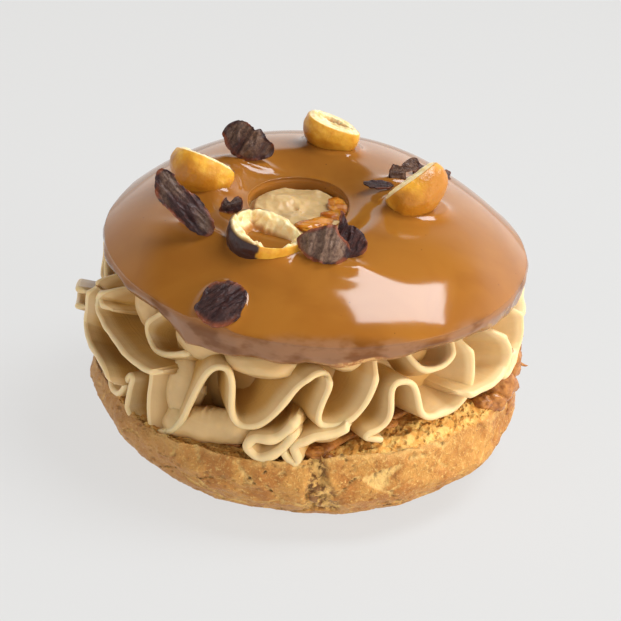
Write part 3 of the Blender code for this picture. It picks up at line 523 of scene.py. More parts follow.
ROOT_RADIUS = 36.0
EDGE_HALF = 0.74
ROOT_HALF = 2.0
STATION = 0.42                      # mm between stations along an edge
FRONT_RIBBONS = {
    "wave_left": dict(reach=47.0, lean=-11, drop=2.5, belly=0.5, turns=[
        (-41.0, 17.8, 0, 0, 8), (-22.5, 38.6, 0, 6.5, 5.5), (-15.3, 25.8, 0, 6, 7.5),
        (4.2, 40.3, 0, 6.5, 5.5), (7.0, 28.1, 0, 6.5, 7.5), (19.3, 46.0, 90, 8, 0)]),
    "wave_right": dict(reach=47.0, lean=-7, drop=1.0, belly=0.5, turns=[
        (22.8, 23.4, 130, 0, 1.2), (17.6, 24.9, 165, 2.0, 0.7), (18.6, 26.2, 15, 0.8, 8.5), (26.3, 37.8, 0, 6, 6), (38.0, 27.3, 0, 7.5, 9),
        (50.6, 35.0, 90, 5, 5), (44.0, 46.5, 135, 4, 0)]),
    "upper_right": dict(reach=45.5, lean=-3, drop=-4.0, belly=1.0, turns=[
        (27.0, 46.0, -60, 0, 4), (37.5, 38.4, 0, 5, 5), (45.5, 46.0, 92, 4, 0)]),
    "petal_right": dict(reach=49.5, lean=-5, drop=-1.0, belly=0.5, turns=[
        (44.0, 32.0, -10, 0, 8), (65.0, 35.5, 90, 5, 3), (53.0, 47.5, 140, 6, 0)]),
    "petal_far_right": dict(reach=49.3, lean=-6, drop=0.0, belly=0.5, turns=[
        (62.0, 30.0, 0, 0, 6), (77.0, 35.0, 90, 4, 4), (71.0, 47.5, 110, 4, 0)]),
    "petal_left": dict(reach=50.0, lean=9, drop=-1.0, belly=1.5, turns=[
        (-49.0, 52.3, 213, 0, 8), (-72.5, 37.5, 270, 5, 1.8), (-66.0, 35.0, -4, 2.5, 8),
        (-40.0, 33.2, 10, 8, 0)]),
    "petal_left_back": dict(reach=50.0, lean=8, drop=-2.0, belly=1.0, turns=[
        (-56.0, 52.6, 215, 0, 7), (-74.5, 42.0, 270, 5, 2), (-66.0, 38.5, -10, 2.5, 0)]),
    "petal_left_low": dict(reach=52.0, lean=8, drop=-4.0, belly=1.5, turns=[
        (-73.0, 42.0, 262, 0, 5), (-77.5, 31.5, 272, 3, 1.5), (-70.0, 28.6, -4, 2.5, 3),
        (-59.5, 27.8, -30, 2.5, 1.5), (-57.0, 24.4, 250, 1.5, 0)]),
    "leaf_left": dict(reach=53.8, lean=6, drop=-1.0, belly=1.0, turns=[
        (-80.0, 37.5, 190, 0, 3), (-90.0, 35.0, 265, 2, 1.2), (-85.0, 32.5, 0, 2, 3),
        (-78.0, 34.5, 10, 3, 0)]),
    "curl_left": dict(reach=48.4, lean=5, drop=1.0, belly=0.0, turns=[
        (-59.0, 24.8, 178, 0, 2.2), (-66.0, 22.0, 270, 1.8, 1.6), (-60.5, 20.0, 10, 2.5, 3.5),
        (-52.5, 27.6, 0, 2.0, 1.8), (-54.0, 20.0, 270, 4.5, 2.2), (-47.0, 16.4, -10, 2.5, 0)]),
    "band_left": dict(reach=47.3, lean=16, drop=2.0, belly=0.8, turns=[
        (-45.0, 33.8, 268, 0, 4), (-45.5, 24.5, 270, 4, 4), (-44.8, 17.2, 300, 1.5, 1.2),
        (-42.0, 17.0, 20, 1.2, 1.5), (-38.0, 19.6, 40, 1.5, 0)]),
    "curl_middle": dict(thick=1.5, reach=48.0, lean=3, drop=2.0, belly=1.5, turns=[
        (-0.9, 30.3, 235, 0, 2.5), (-7.6, 24.4, 190, 2.5, 2.2), (-12.4, 23.6, 215, 1.0, 0.8),
        (-13.4, 21.2, 320, 1.0, 1.0), (-9.7, 19.7, 10, 1.6, 2.4), (-3.6, 23.9, 55, 2.0, 1.5),
        (-1.0, 27.8, 60, 1.2, 0)]),
    "loop_middle": dict(thick=1.35, reach=48.2, lean=2, drop=4.0, belly=0.8, turns=[
        (-5.0, 23.6, 290, 0, 1.0), (-2.6, 20.1, 330, 1.4, 0.8), (-0.5, 19.9, 60, 0.8, 0.8), (-1.6, 22.8, 110, 1.0, 0.8),
        (0.2, 24.6, 20, 0.8, 1.4), (5.0, 26.4, 8, 2.2, 3.0), (13.2, 29.6, 45, 3, 0)]),
    "fold_under_lid": dict(reach=45.2, lean=4, drop=-3.0, belly=1.5, turns=[
        (-45.0, 46.0, 235, 0, 3), (-51.5, 39.0, 265, 3, 2), (-46.5, 35.0, 0, 2, 3),
        (-33.0, 39.0, 25, 4, 0)]),
}
DOLLOPS = [(-57, 41.5, 42.5, 5.0, 6.0), (-13, 40.0, 39.6, 9.0, 4.0), (12, 41.0, 41.6, 4.5, 3.0),
           (-33, 40.5, 40.5, 7.0, 4.5)]
# Rolls of cream on the base: first and last angle, reach, heights of the underside and of the top, tear
LOBES = [(-46.0, -30.0, 46.2, (16.8, 21.0), (35.0, 38.0), 0.0),
         (-45.0, -11.0, 47.2, (15.0, 20.6), (23.4, 28.4), 1.0), (-0.5, 15.0, 47.0, (21.4, 24.4), (27.0, 30.0), 0.0),
         (-13.6, -1.0, 46.6, (19.8, 24.0), (23.4, 29.0), 0.0)]
BACK_ROWS = [dict(reach=47.5, low=28.0, high=41.5, pitch=16.5, lean=-10, drop=2.0),
             dict(reach=49.0, low=37.0, high=50.0, pitch=27.0, lean=-8, drop=-2.0),
             dict(reach=48.0, low=20.0, high=28.5, pitch=24.0, lean=-6, drop=-1.0)]


def ribbon_line(turns, reach, spacing):
    """The piped edge as (angle, height) stations through its turns."""
    per_degree = math.radians(1.0) * reach
    stations = []
    for first, last in zip(turns, turns[1:]):
        lines = []
        for turn, handle in ((first, first[4]), (last, -last[3])):
            heading = math.radians(turn[2])
            lines.append(np.array((turn[0] * per_degree, turn[1])))
            lines.append(lines[-1] + handle * np.array((math.cos(heading), math.sin(heading))))
        start, out, end, back = lines
        length = np.linalg.norm(end - start) + 0.4 * (first[4] + last[3])
        steps = max(6, int(length / spacing))
        for k in range(steps):
            t = k / steps
            s = 1.0 - t
            spot = s ** 3 * start + 3 * s * s * t * out + 3 * s * t * t * back + t ** 3 * end
            stations.append((spot[0] / per_degree, spot[1]))
    stations.append((turns[-1][0], turns[-1][1]))
    return stations


def tucked(angle, radius, height):
    """Radius of a ribbon's edge, drawn in where the lid presses on it."""
    lip = 46.7 - 48.7 * math.sin(math.radians(5.15)) * math.cos(math.radians(angle))
    press = float(smoothstep((height - lip + 3.5) / 3.5))
    return mix(radius, min(radius, 43.5), press)


def ribbon(turns, reach, lean, drop, belly, seed, thick=1.0, spacing=STATION, across=10):
    """One piped ribbon: rings round a sheet with a thin rounded edge and a thick root."""
    stations = ribbon_line(turns, reach, spacing)
    middle = sum(height for _, height in stations) / len(stations)
    shares = [(k / across) ** 1.5 for k in range(across + 1)]
    last = len(stations) - 1
    sheet, travel = [], []
    for i, (angle, height) in enumerate(stations):
        fade = float(smoothstep(min(i, last - i) * spacing / 2.2))
        wobble = noise.noise(Vector((angle * 0.21, height * 0.16, seed)))
        rim = tucked(angle, reach + 0.45 * wobble, height) - 1.6 * (1.0 - fade)
        root_height = mix(height, middle, 0.25) + drop
        edge = polar(angle, rim, height)
        root = polar(angle + lean, ROOT_RADIUS, root_height)
        bend = polar(angle + 0.5 * lean, mix(rim, ROOT_RADIUS, 0.5) + belly, mix(height, root_height, 0.5))
        sheet.append([edge * (1 - v) ** 2 + bend * 2 * v * (1 - v) + root * v * v for v in shares])
        travel.append(thick * mix(0.45, 1.0, fade) * (1.0 + 0.18 * noise.noise(Vector((angle * 0.3, seed, 1.0)))))
    points, masks, length = [], [], 0.0
    inward = [share * mix(reach, 0.0, 0.22) * MM for share in shares]
    for i, row in enumerate(sheet):
        near = [b - a for a, b in zip(sheet[max(0, i - 1)], sheet[min(last, i + 1)])]
        length += (row[0] - sheet[max(0, i - 1)][0]).length
        upper, lower = [], []
        for j, spot in enumerate(row):
            step = row[min(j + 1, across)] - row[max(j - 1, 0)]
            half = mix(EDGE_HALF, ROOT_HALF, shares[j]) * travel[i]
            offset = near[j].cross(step).normalized() * half
            upper.append(spot + offset)
            lower.append(spot - offset)
        outward = (row[0] - row[1]).normalized() * (EDGE_HALF * travel[i])
        side = upper[0] - row[0]
        cap = [row[0] + side * math.cos(a) + outward * math.sin(a) for a in
               (math.radians(d) for d in (150.0, 120.0, 90.0, 60.0, 30.0))]
        points.extend(upper[::-1] + cap[::-1] + lower)
        # the painted shade of the folds is weakened towards the right, where the light falls on them
        shade = 1.0 - 0.85 * float(smoothstep((stations[i][0] - 20.0) / 25.0)) * (stations[i][0] < 100.0)
        masks.extend((length * MM, deep * shade) for deep in inward[::-1] + [0.0] * 5 + inward)
    columns = 2 * across + 7
    faces = grid_faces(len(sheet), columns)
    faces.append(tuple(range(columns))[::-1])
    faces.append(tuple(range((len(sheet) - 1) * columns, len(sheet) * columns)))
    return np.array([tuple(p) for p in points]) * MM, faces, np.array(masks)


def join(parts):
    """Several (points, faces, mask) as one."""
    points, faces, masks, start = [], [], [], 0
    for spots, polys, mask in parts:
        points.append(spots)
        masks.append(mask)
        faces.extend(tuple(i + start for i in poly) for poly in polys)
        start += len(spots)
    return np.concatenate(points), faces, np.concatenate(masks)


def back_turns():
    """Rows of waves round the back, each turn a little different."""
    rng = random.Random(11)
    rows = []
    for row in BACK_ROWS:
        turns = []
        angle = 84.0 + rng.uniform(-3.0, 3.0)
        crest = False
        while angle < 282.0:
            level = row["high"] if crest else row["low"]
            fore = row["pitch"] * rng.uniform(0.38, 0.55)
            turns.append((angle, level + rng.uniform(-1.6, 1.6), rng.uniform(-8, 8), fore * 0.9, fore))
            step = 0.42 if crest else 1.25
            angle += row["pitch"] * step * rng.uniform(0.85, 1.15)
            crest = not crest
        rows.append(dict(reach=row["reach"], lean=row["lean"], drop=row["drop"], belly=0.6, turns=turns))
    return rows


def ball(angle, distance, height, half_width, half_height, seed):
    bm = bmesh.new()
    bmesh.ops.create_icosphere(bm, subdivisions=5, radius=1.0)
    spots = np.array([tuple(v.co) for v in bm.verts])
    faces = [tuple(v.index for v in f.verts) for f in bm.faces]
    bm.free()
    swell = 1.0 + 0.10 * relief(spots, 0.8, seed) + 0.03 * relief(spots, 0.3, seed + 2)
    spots = spots * swell[:, None] * (half_width, 0.75 * half_width, half_height)
    turn = math.radians(angle)
    x = spots[:, 0] * math.cos(turn) - spots[:, 1] * math.sin(turn)
    y = spots[:, 0] * math.sin(turn) + spots[:, 1] * math.cos(turn)
    spots = np.stack([x, y, spots[:, 2]], -1) + tuple(polar(angle, distance, height))
    return spots * MM, faces, np.stack([spots[:, 2] * MM, np.full(len(spots), 2.0 * MM)], -1)


def lobe(first, last, reach, low, high, torn, seed):
    """A soft roll of cream lying along the base, with its ends drawn in and its top edge torn."""
    count, around = int((last - first) * 2.2), 40
    rows = []
    for angle in np.linspace(first, last, count):
        t = (angle - first) / (last - first)
        fade = math.sqrt(max(0.02, float(smoothstep(min(t, 1.0 - t) * (last - first) / 7.0))))
        middle = 0.5 * (mix(low[0], low[1], t) + mix(high[0], high[1], t))
        half = 0.5 * (mix(high[0], high[1], t) - mix(low[0], low[1], t)) * fade
        row = []
        for turn in np.linspace(-math.pi, math.pi, around, endpoint=False):
            lift = middle + half * math.sin(turn)
            rip = torn * float(bell(turn, 1.2, 0.35)) * (0.6 + noise.noise(Vector((angle * 0.9, seed, 0.0))))
            row.append(tuple(polar(angle, reach - 3.6 + 3.6 * fade * math.cos(turn), lift + rip)))
        rows.append(row)
    points = np.array(rows)
    points += (relief(points, 4.0, seed) * 0.35 + relief(points, 1.5, seed + 1.0) * 0.08)[..., None]
    faces = grid_faces(count, around)
    faces.append(tuple(range(around))[::-1])
    faces.append(tuple(range((count - 1) * around, count * around)))
    flat = points.reshape(-1, 3) * MM
    return flat, faces, np.stack([flat[:, 2], np.full(len(flat), 1.6 * MM)], -1)


def core():
    """The body of cream behind the ruffles."""
    sectors = 180
    angle = np.linspace(-180.0, 180.0, sectors, endpoint=False)
    from_lid = LID_FRAME.inverted()
    rings = []
    for share, level in ((0.93, 0.0), (1.0, 0.2), (1.02, 0.4), (1.02, 0.6), (1.0, 0.8), (0.93, 1.0)):
        ring = []
        for a in angle:
            low = polar(a, 38.5 * share * MM, 21.5 * MM)
            low.z += 0.075 * low.x
            high = from_lid @ low
            high.z = -2.4 * MM
            ring.append(tuple(low.lerp(LID_FRAME @ high, level)))
        rings.append(ring)
    points = np.array(rings)
    lumps = 1.0 + 0.03 * relief(points, 7 * MM, 17.0)
    points[..., :2] *= lumps[..., None]
    faces = grid_faces(len(rings), sectors)
    faces.append(tuple(range(sectors))[::-1])
    faces.append(tuple(range((len(rings) - 1) * sectors, len(rings) * sectors)))
    flat = points.reshape(-1, 3)
    # a deep value of 8 mm gives the body behind the ruffles the brown painted shade of the folds
    return flat, faces, np.stack([flat[:, 2], np.full(len(flat), 8.0 * MM)], -1)


def make_cream(mat):
    front = [ribbon(seed=3.1 * i, **spec) for i, spec in enumerate(FRONT_RIBBONS.values(), start=1)]
    front += [ball(*spec, seed=i) for i, spec in enumerate(DOLLOPS)]
    front += [lobe(*spec, seed=20.0 + i) for i, spec in enumerate(LOBES)]
    back = [ribbon(seed=50.0 + i, spacing=0.6, across=8, **spec) for i, spec in enumerate(back_turns())]
    back.append(core())
    for name, parts in (("cream_ruffles_front", front), ("cream_ruffles_back", back)):
        points, faces, masks = join(parts)
        obj = add_mesh(name, points, faces, mat, dict(along=masks[:, 0], deep=masks[:, 1]))
        obj.data.set_sharp_from_angle(angle=math.radians(60.0))
        place(obj, "cream", "praline_cream")


# ---------------------------------------------------------------- cream and caramel in the hole

def make_plug(cream_mat, caramel_mat):
    """Lumpy top of the cream in the hole, with two pools of clear caramel at its edge."""
    sectors, count = 160, 46
    angle = np.linspace(-180.0, 180.0, sectors, endpoint=False)
    floor = lid_height(np.array(HOLE[0] + HOLE_HALF[0]), np.array(HOLE[1]))
    edge = hole_edge(angle, 0.15)
    rows = []
    for share in np.linspace(1.0, 0.02, count):
        spot = np.array(HOLE) + (edge - np.array(HOLE)) * share
        rows.append(np.concatenate([spot, np.full((sectors, 1), 1.0)], -1))
    top = np.array(rows)
    share = np.linspace(1.0, 0.02, count)[:, None]
    swirl = np.degrees(np.arctan2(top[..., 0] - HOLE[0], top[..., 1] - HOLE[1]))
    fold = np.sin(np.radians(2.0 * swirl + 260.0 * share + 40.0))
    crown = floor - 1.7 - 1.4 * smoothstep((share - 0.86) / 0.14) + 0.5 * fold * smoothstep((1.0 - share) * 4.0)
    top[..., 2] = crown + 0.8 * relief(top, 5.0, 81.0) + 0.25 * relief(top, 1.8, 83.0, 2)
    under = top[:1].copy()
    under[..., 2] = -1.0
    points = np.concatenate([under, top])
    faces = grid_faces(len(points), sectors)
    faces.append(tuple(range(sectors))[::-1])
    faces.append(tuple(range((len(points) - 1) * sectors, len(points) * sectors)))
    obj = add_mesh("cream_in_hole", points.reshape(-1, 3) * MM, faces, cream_mat,
                   dict(along=points[..., 2] * MM, deep=np.full(points.shape[:2], 1.2 * MM)))
    obj.data.transform(LID_FRAME)
    place(obj, "cream", "praline_cream")
    pools = []
    for index, (x, y, half_x, half_y, heading, high) in enumerate(CARAMEL_POOLS):
        pools.append(blob(x, y, floor - 1.2 + high, half_x, half_y, 0.75, heading, index * 3.3, 0.3))
    points, faces, _ = join(pools)
    obj = add_mesh("caramel_pools", points, faces, caramel_mat)
    obj.data.transform(LID_FRAME)
    place(obj, "caramel_glaze", "choux_top")


# (x, y, half length, half width in mm, heading, height)
CARAMEL_POOLS = [(5.0, -1.6, 2.6, 4.4, 20, -0.2), (3.0, -5.4, 2.6, 2.2, 20, -0.4), (-0.6, -10.2, 4.4, 2.4, 30, -0.2),
                 (-12.6, -8.0, 1.6, 3.0, 40, -0.3)]


def blob(x, y, z, half_x, half_y, half_z, heading, seed, rough=0.16):
    """A soft lump: an egg with gentle dents."""
    bm = bmesh.new()
    bmesh.ops.create_icosphere(bm, subdivisions=4, radius=1.0)
    spots = np.array([tuple(v.co) for v in bm.verts])
    faces = [tuple(v.index for v in f.verts) for f in bm.faces]
    bm.free()
    swell = 1.0 + rough * relief(spots, 0.7, seed) + 0.4 * rough * relief(spots, 0.25, seed + 2)
    spots = spots * swell[:, None] * (half_x, half_y, half_z)
    turn = math.radians(heading)
    spots = np.stack([spots[:, 0] * math.cos(turn) - spots[:, 1] * math.sin(turn) + x,
                      spots[:, 0] * math.sin(turn) + spots[:, 1] * math.cos(turn) + y,
                      spots[:, 2] + z], -1)
    return spots * MM, faces, np.zeros(len(spots))


# ---------------------------------------------------------------- praline

def praline_edge(angle):
    wave = 0.8 * np.sin(5.0 * np.radians(angle) + 1.0)
    return 41.0 + 5.6 * bell(angle, 4.0, 7.0) + 5.4 * bell(angle, 72.0, 9.0) + wave


def make_praline(mat):
    """The spread, its ooze at the front, and the torn lump with a spike on the right."""
    sectors = 360
    angle = np.linspace(-180.0, 180.0, sectors, endpoint=False)
    turn = np.radians(angle)
    rows = []
    for share, level in ((0.80, -1.0), (0.97, -1.0), (1.0, 0.0), (1.0, 0.5), (0.985, 0.9), (0.95, 1.1), (0.9, 1.15), (0.80, 1.2)):
        radius = praline_edge(angle) * share
        x, y = radius * np.sin(turn), -radius * np.cos(turn)
        bed = base_cut(x, radius, angle)
        rows.append(np.stack([x, y, bed + level * 1.3], -1))
    points = np.array(rows)
    points[2:] += (relief(points[2:], 2.6, 91.0, 2) * 0.5)[..., None] * (0.3, 0.3, 1.0)
    faces = grid_faces(len(points), sectors)
    faces.append(tuple(range(sectors))[::-1])
    faces.append(tuple(range((len(points) - 1) * sectors, len(points) * sectors)))
    parts = [(points.reshape(-1, 3) * MM, faces, np.zeros(points.shape[0] * sectors))]
    for angle_at, radius, height, half, seed in PRALINE_LUMPS:
        spot = polar(angle_at, radius, height)
        parts.append(blob(spot.x, spot.y, spot.z, *half, angle_at, seed, 0.28))
    for spec in PRALINE_SPIKES:
        parts.append(spike(*spec))
    points, faces, _ = join(parts)
    obj = add_mesh("praline_spread", points, faces, mat)
    place(obj, "praline", "praline_layer")


# (angle, radius, height in mm, half sizes, seed)
PRALINE_LUMPS = [
    (69, 47.0, 26.0, (4.2, 4.0, 4.8), 1.0), (75, 47.6, 29.0, (3.6, 3.0, 4.0), 2.0), (64, 47.0, 23.5, (3.0, 3.4, 3.0), 3.0),
    (80, 47.2, 32.0, (2.6, 2.4, 3.0), 4.0), (72, 48.8, 21.0, (2.4, 1.8, 3.6), 5.0), (59, 46.4, 24.8, (2.6, 2.4, 1.8), 6.0),
    (4, 45.4, 20.8, (3.4, 2.2, 1.1), 7.0), (7.5, 47.0, 19.6, (2.0, 1.6, 1.6), 8.0), (26, 42.9, 25.4, (2.2, 1.6, 1.0), 9.0),
    (-20, 43.6, 19.2, (2.6, 1.3, 0.8), 11.0)]

# (angle, radius, height in mm, direction angle, rise in mm, length, thickness)
PRALINE_SPIKES = [(76, 49.0, 28.6, 92, 0.1, 4.6, 1.0), (80, 48.0, 32.6, 84, 2.2, 3.4, 0.9), (68, 48.2, 27.4, 60, 0.3, 3.0, 0.9)]


def spike(angle, radius, height, towards, rise, length, thick):
    """A drawn-out tip of praline."""
    start = polar(angle, radius - 1.5, height)
    aim = (polar(towards, length, 0.0) + Vector((0.0, 0.0, rise)))
    side = aim.cross(Vector((0.0, 0.0, 1.0))).normalized()
    up = side.cross(aim).normalized()
    rows, sectors = [], 16
    for k in range(14):
        t = k / 13.0
        size = thick * (1.0 - t) ** 0.7 + 0.06
        centre = start + aim * t + Vector((0.0, 0.0, 0.5 * math.sin(t * 5.0)))
        rows.append([tuple(centre + (side * math.cos(a) + up * math.sin(a) * 0.8) * size)
                     for a in np.linspace(0.0, 2.0 * math.pi, sectors, endpoint=False)])
    points = np.array(rows)
    faces = grid_faces(len(rows), sectors)
    faces.append(tuple(range(sectors))[::-1])
    faces.append(tuple(range((len(rows) - 1) * sectors, len(rows) * sectors)))
    return points.reshape(-1, 3) * MM, faces, np.zeros(len(rows) * sectors)


# ---------------------------------------------------------------- hazelnuts and skins

def topping_frame(x, y, height, heading, roll, pitch, on_slope=False):
    """Where a topping sits: over a point of the glaze, level with the lid or with its slope."""
    here = float(lid_height(np.array(x), np.array(y)))
    move = Matrix.Translation((x * MM, y * MM, (here + height) * MM))
    if on_slope:
        slope_x = float(lid_height(np.array(x + 0.5), np.array(y)) - lid_height(np.array(x - 0.5), np.array(y)))
        slope_y = float(lid_height(np.array(x), np.array(y + 0.5)) - lid_height(np.array(x), np.array(y - 0.5)))
        normal = Vector((-slope_x, -slope_y, 1.0)).normalized()
        move @= Vector((0.0, 0.0, 1.0)).rotation_difference(normal).to_matrix().to_4x4()
    return (LID_FRAME @ move @ Matrix.Rotation(math.radians(heading), 4, "Z")
            @ Matrix.Rotation(math.radians(pitch), 4, "Y") @ Matrix.Rotation(math.radians(roll), 4, "X"))


NUT_LENGTH, NUT_WIDTH, NUT_DEPTH = 15.0, 12.2, 9.0
NUTS = [
    dict(spot=(-26.6, 1.6, 5.2, -12, -38, 14), size=0.94, cleft=(0.60, 0.10, 0.30), bowl=0.0, skin=-2.0, toast=0.6),
    dict(spot=(1.9, 22.6, 6.4, -26, -14, 10), size=0.88, cleft=(0.62, 0.15, 0.40), bowl=0.06, skin=-2.0, toast=0.35),
    dict(spot=(19.2, -3.6, 5.6, 18, -34, -38), size=0.94, cleft=(0.66, 0.12, 0.30), bowl=0.0, skin=-2.0, toast=0.9),
    dict(spot=(-11.2, -25.8, 4.2, -12, 8, 8), size=1.08, cleft=(0.78, 0.40, 0.30), bowl=0.16, skin=1.0, toast=0.3)]


def nut_mesh(index, spot, size, cleft, bowl, skin, toast, mat):
    """Half a hazelnut: thick rim, ragged cleft in the cut face, bulging ridged back, remains of skin."""
    sectors, face_rings, back_rings = 120, 44, 40
    turn = np.linspace(0.0, 2.0 * math.pi, sectors, endpoint=False)
    outline_x = NUT_LENGTH * 0.5 * (np.cos(turn) + 0.12 * np.maximum(0.0, np.cos(turn)) ** 3)
    outline_y = NUT_WIDTH * 0.5 * np.sin(turn) * (1.0 - 0.16 * np.cos(turn))
    girth = 0.32
    mouth = math.sqrt(1.0 - (girth / 0.75) ** 2)
    rows = []
    for share in np.linspace(0.02, 0.97, face_rings):
        x, y = outline_x * share * mouth, outline_y * share * mouth
        flat = np.stack([x, y, np.full_like(x, index * 9.0)], -1)
        rag = 0.30 * relief(flat, 2.6, 1.0) + 0.15 * relief(flat, 1.0, 2.0)
        bend = 0.7 * np.sin(x * 0.45 + index)
        reach = np.hypot(x / (NUT_LENGTH * 0.5 * cleft[0]), (y - bend) / (NUT_WIDTH * 0.8 * cleft[1])) + rag
        rim = 0.45 * smoothstep((share - 0.80) / 0.17)
        hollow = cleft[2] * NUT_DEPTH * smoothstep((1.2 - reach) / 0.55) ** 0.8
        rough = (0.25 + 2.0 * bowl) * relief(flat, 1.7, 3.0, 2) * smoothstep((1.9 - reach) * 1.5)
        z = -bowl * NUT_DEPTH * (1.0 - share ** 2) - hollow + 0.45 * np.exp(-((reach - 1.35) / 0.35) ** 2) - rim
        rows.append(np.stack([x, y, z + rough], -1))
    for t in np.linspace(0.0, 0.985, back_rings):
        sink = 0.06 + 0.94 * math.sin(t * math.pi / 2) ** 1.2
        span = 0.75 if sink < girth else 1.0 - girth
        width = math.sqrt(max(0.0, 1.0 - abs((sink - girth) / span) ** 2.2))
        rows.append(np.stack([outline_x * width, outline_y * width, np.full_like(turn, -sink * NUT_DEPTH)], -1))
    points = np.array(rows) * size
    back = np.zeros(points.shape[:2])
    back[face_rings:] = 1.0
    lumps = 0.30 * relief(points, 5.0, index * 7.0) + 0.08 * relief(points, 1.6, index * 5.0 + 1.0, 2)
    ridges = 0.14 * relief(points * (0.25, 1.0, 1.0), 1.3, index * 3.0 + 2.0)
    away = points - (0.0, 0.0, -0.4 * NUT_DEPTH * size)
    away /= np.linalg.norm(away, axis=-1, keepdims=True)
    points = points + away * (lumps + back * ridges)[..., None]
    faces = grid_faces(len(points), sectors)
    faces.append(tuple(range(sectors)))
    faces.append(tuple(range((len(points) - 1) * sectors, len(points) * sectors))[::-1])
    faces = [face[::-1] for face in faces]
    deep = -points[..., 2] / (NUT_DEPTH * size)
    stain = (1.0 - back) * smoothstep((deep - bowl - 0.05) / 0.14)
    toasted = back * smoothstep((0.8 * relief(points, 4.0, index * 9.0) + deep * 1.2 - 0.75 + toast) * 1.4)
    skinned = back * smoothstep((relief(points, 3.2, index * 2.0 + 5.0, 2) * 0.6 + deep * 1.4 - 1.0 + skin
                                 - points[..., 0] * 0.12) * 6.0)
    obj = add_mesh(f"hazelnut_half_{index}", points.reshape(-1, 3) * MM, faces, mat,
                   dict(stain=stain, toast=toasted, skin=skinned, back=back))
    obj.data.transform(topping_frame(*spot))
    place(obj, "hazelnut", f"hazelnut_{index}")


# A flake: where it lies (as for CAD), its outline in mm, how far it cups, the direction of its ribs,
# their spacing and depth, the depth of its wrinkles and how much of it is greyish
FLAKES = [
    dict(spot=(-17.6, 12.6, 4.2, -4, 62, 0), cup=3.0, ribs=(70, 2.2, 0.0), wrinkle=0.8, grey=0.45, outline=[
        (-6.1, 0.9), (-4.7, 3.5), (-1.9, 4.5), (0.5, 3.5), (1.4, 2.7), (2.8, 2.9), (4.2, 1.2), (6.1, -0.5),
        (5.8, -2.8), (2.8, -4.2), (-0.7, -4.4), (-3.7, -3.0)]),
    dict(spot=(-29.2, -18.9, 6.9, -4, 60, 0), cup=3.6, ribs=(-44, 2.0, 0.16), wrinkle=0.55, grey=0.5, outline=[
        (-6.5, 6.3), (-3.5, 6.1), (-2.1, 4.2), (0.2, 2.6), (3.3, 0.9), (5.6, -1.8), (7.0, -3.9), (6.6, -6.5),
        (4.0, -6.8), (0.2, -4.9), (-3.2, -2.4), (-6.4, 0.6), (-7.0, 3.8)]),
    dict(spot=(-19.3, -12.8, 2.0, 0, 60, 0), cup=0.8, ribs=(20, 1.6, 0.0), wrinkle=0.30, grey=0.25, outline=[
        (-2.6, -1.5), (-1.7, 1.3), (-0.5, 0.6), (0.8, 1.9), (2.4, 1.3), (2.2, -0.9), (0.5, -1.8)]),
    dict(spot=(1.6, -29.4, 3.4, 0, 60, 0), cup=3.4, ribs=(84, 3.0, 0.35), wrinkle=0.6, grey=0.7, outline=[
        (-5.8, 0.9), (-3.7, 2.8), (-0.9, 3.9), (1.9, 4.4), (3.2, 2.6), (5.6, 0.2), (5.0, -2.8), (1.6, -4.0),
        (-1.9, -3.6), (-4.4, -2.1)]),
    dict(spot=(7.2, -26.6, 3.5, 8, 66, 0), cup=2.0, ribs=(60, 1.8, 0.0), wrinkle=0.7, grey=0.0, outline=[
        (-2.1, 6.2), (-0.8, 3.4), (1.6, 2.4), (3.4, 0.0), (3.6, -2.4), (1.4, -3.8), (-1.9, -3.9), (-3.6, -1.2),
        (-2.9, 2.4)]),
    dict(spot=(-19.3, -41.0, 1.0, 0, 0, 0), cup=1.4, ribs=(30, 3.0, 0.0), wrinkle=0.5, grey=0.05, outline=[
        (-2.3, 4.7), (0.2, 5.2), (2.9, 4.9), (5.4, 3.0), (5.9, 0.7), (4.9, -2.2), (3.6, -4.4), (0.0, -5.6),
        (-2.7, -4.6), (-4.5, -3.0), (-5.6, -0.5), (-4.3, 1.3)]),
    dict(spot=(17.4, 7.4, 2.1, 6, 62, 0), cup=1.4, ribs=(20, 1.5, 0.0), wrinkle=0.32, grey=0.4, outline=[
        (-2.2, -1.6), (-1.4, 1.6), (0.2, 1.2), (0.9, 1.9), (3.0, 3.4), (4.4, 2.6), (4.6, 0.6), (1.6, -0.2),
        (1.6, -1.8)]),
    dict(spot=(12.9, 2.0, 0.9, -4, 14, 0), cup=0.5, ribs=(0, 1.4, 0.05), wrinkle=0.12, grey=0.1, outline=[
        (-3.4, 0.6), (-1.0, 1.3), (2.2, 1.6), (3.6, 0.4), (2.0, -1.0), (-1.6, -1.2)])]
# Scraps too small for a node: place on the glaze, size, heading
SCRAPS = [((22.2, 13.0), 3.2, 30), ((26.0, 20.0), 2.0, -20), ((29.2, 16.4), 2.6, 70), ((-20.4, 4.2), 1.3, -30)]
SKIN_HALF = 0.17


def closed_curve(knots, count):
    """Points round a closed Catmull-Rom curve."""
    knots = np.array(knots, float)
    place_on = np.linspace(0.0, len(knots), count, endpoint=False)
    index = place_on.astype(int)
    t = (place_on - index)[:, None]
    a, b, c, d = (knots[(index + shift) % len(knots)] for shift in (-1, 0, 1, 2))
    return 0.5 * (2 * b + (c - a) * t + (2 * a - 5 * b + 4 * c - d) * t * t + (3 * b - a - 3 * c + d) * t ** 3)


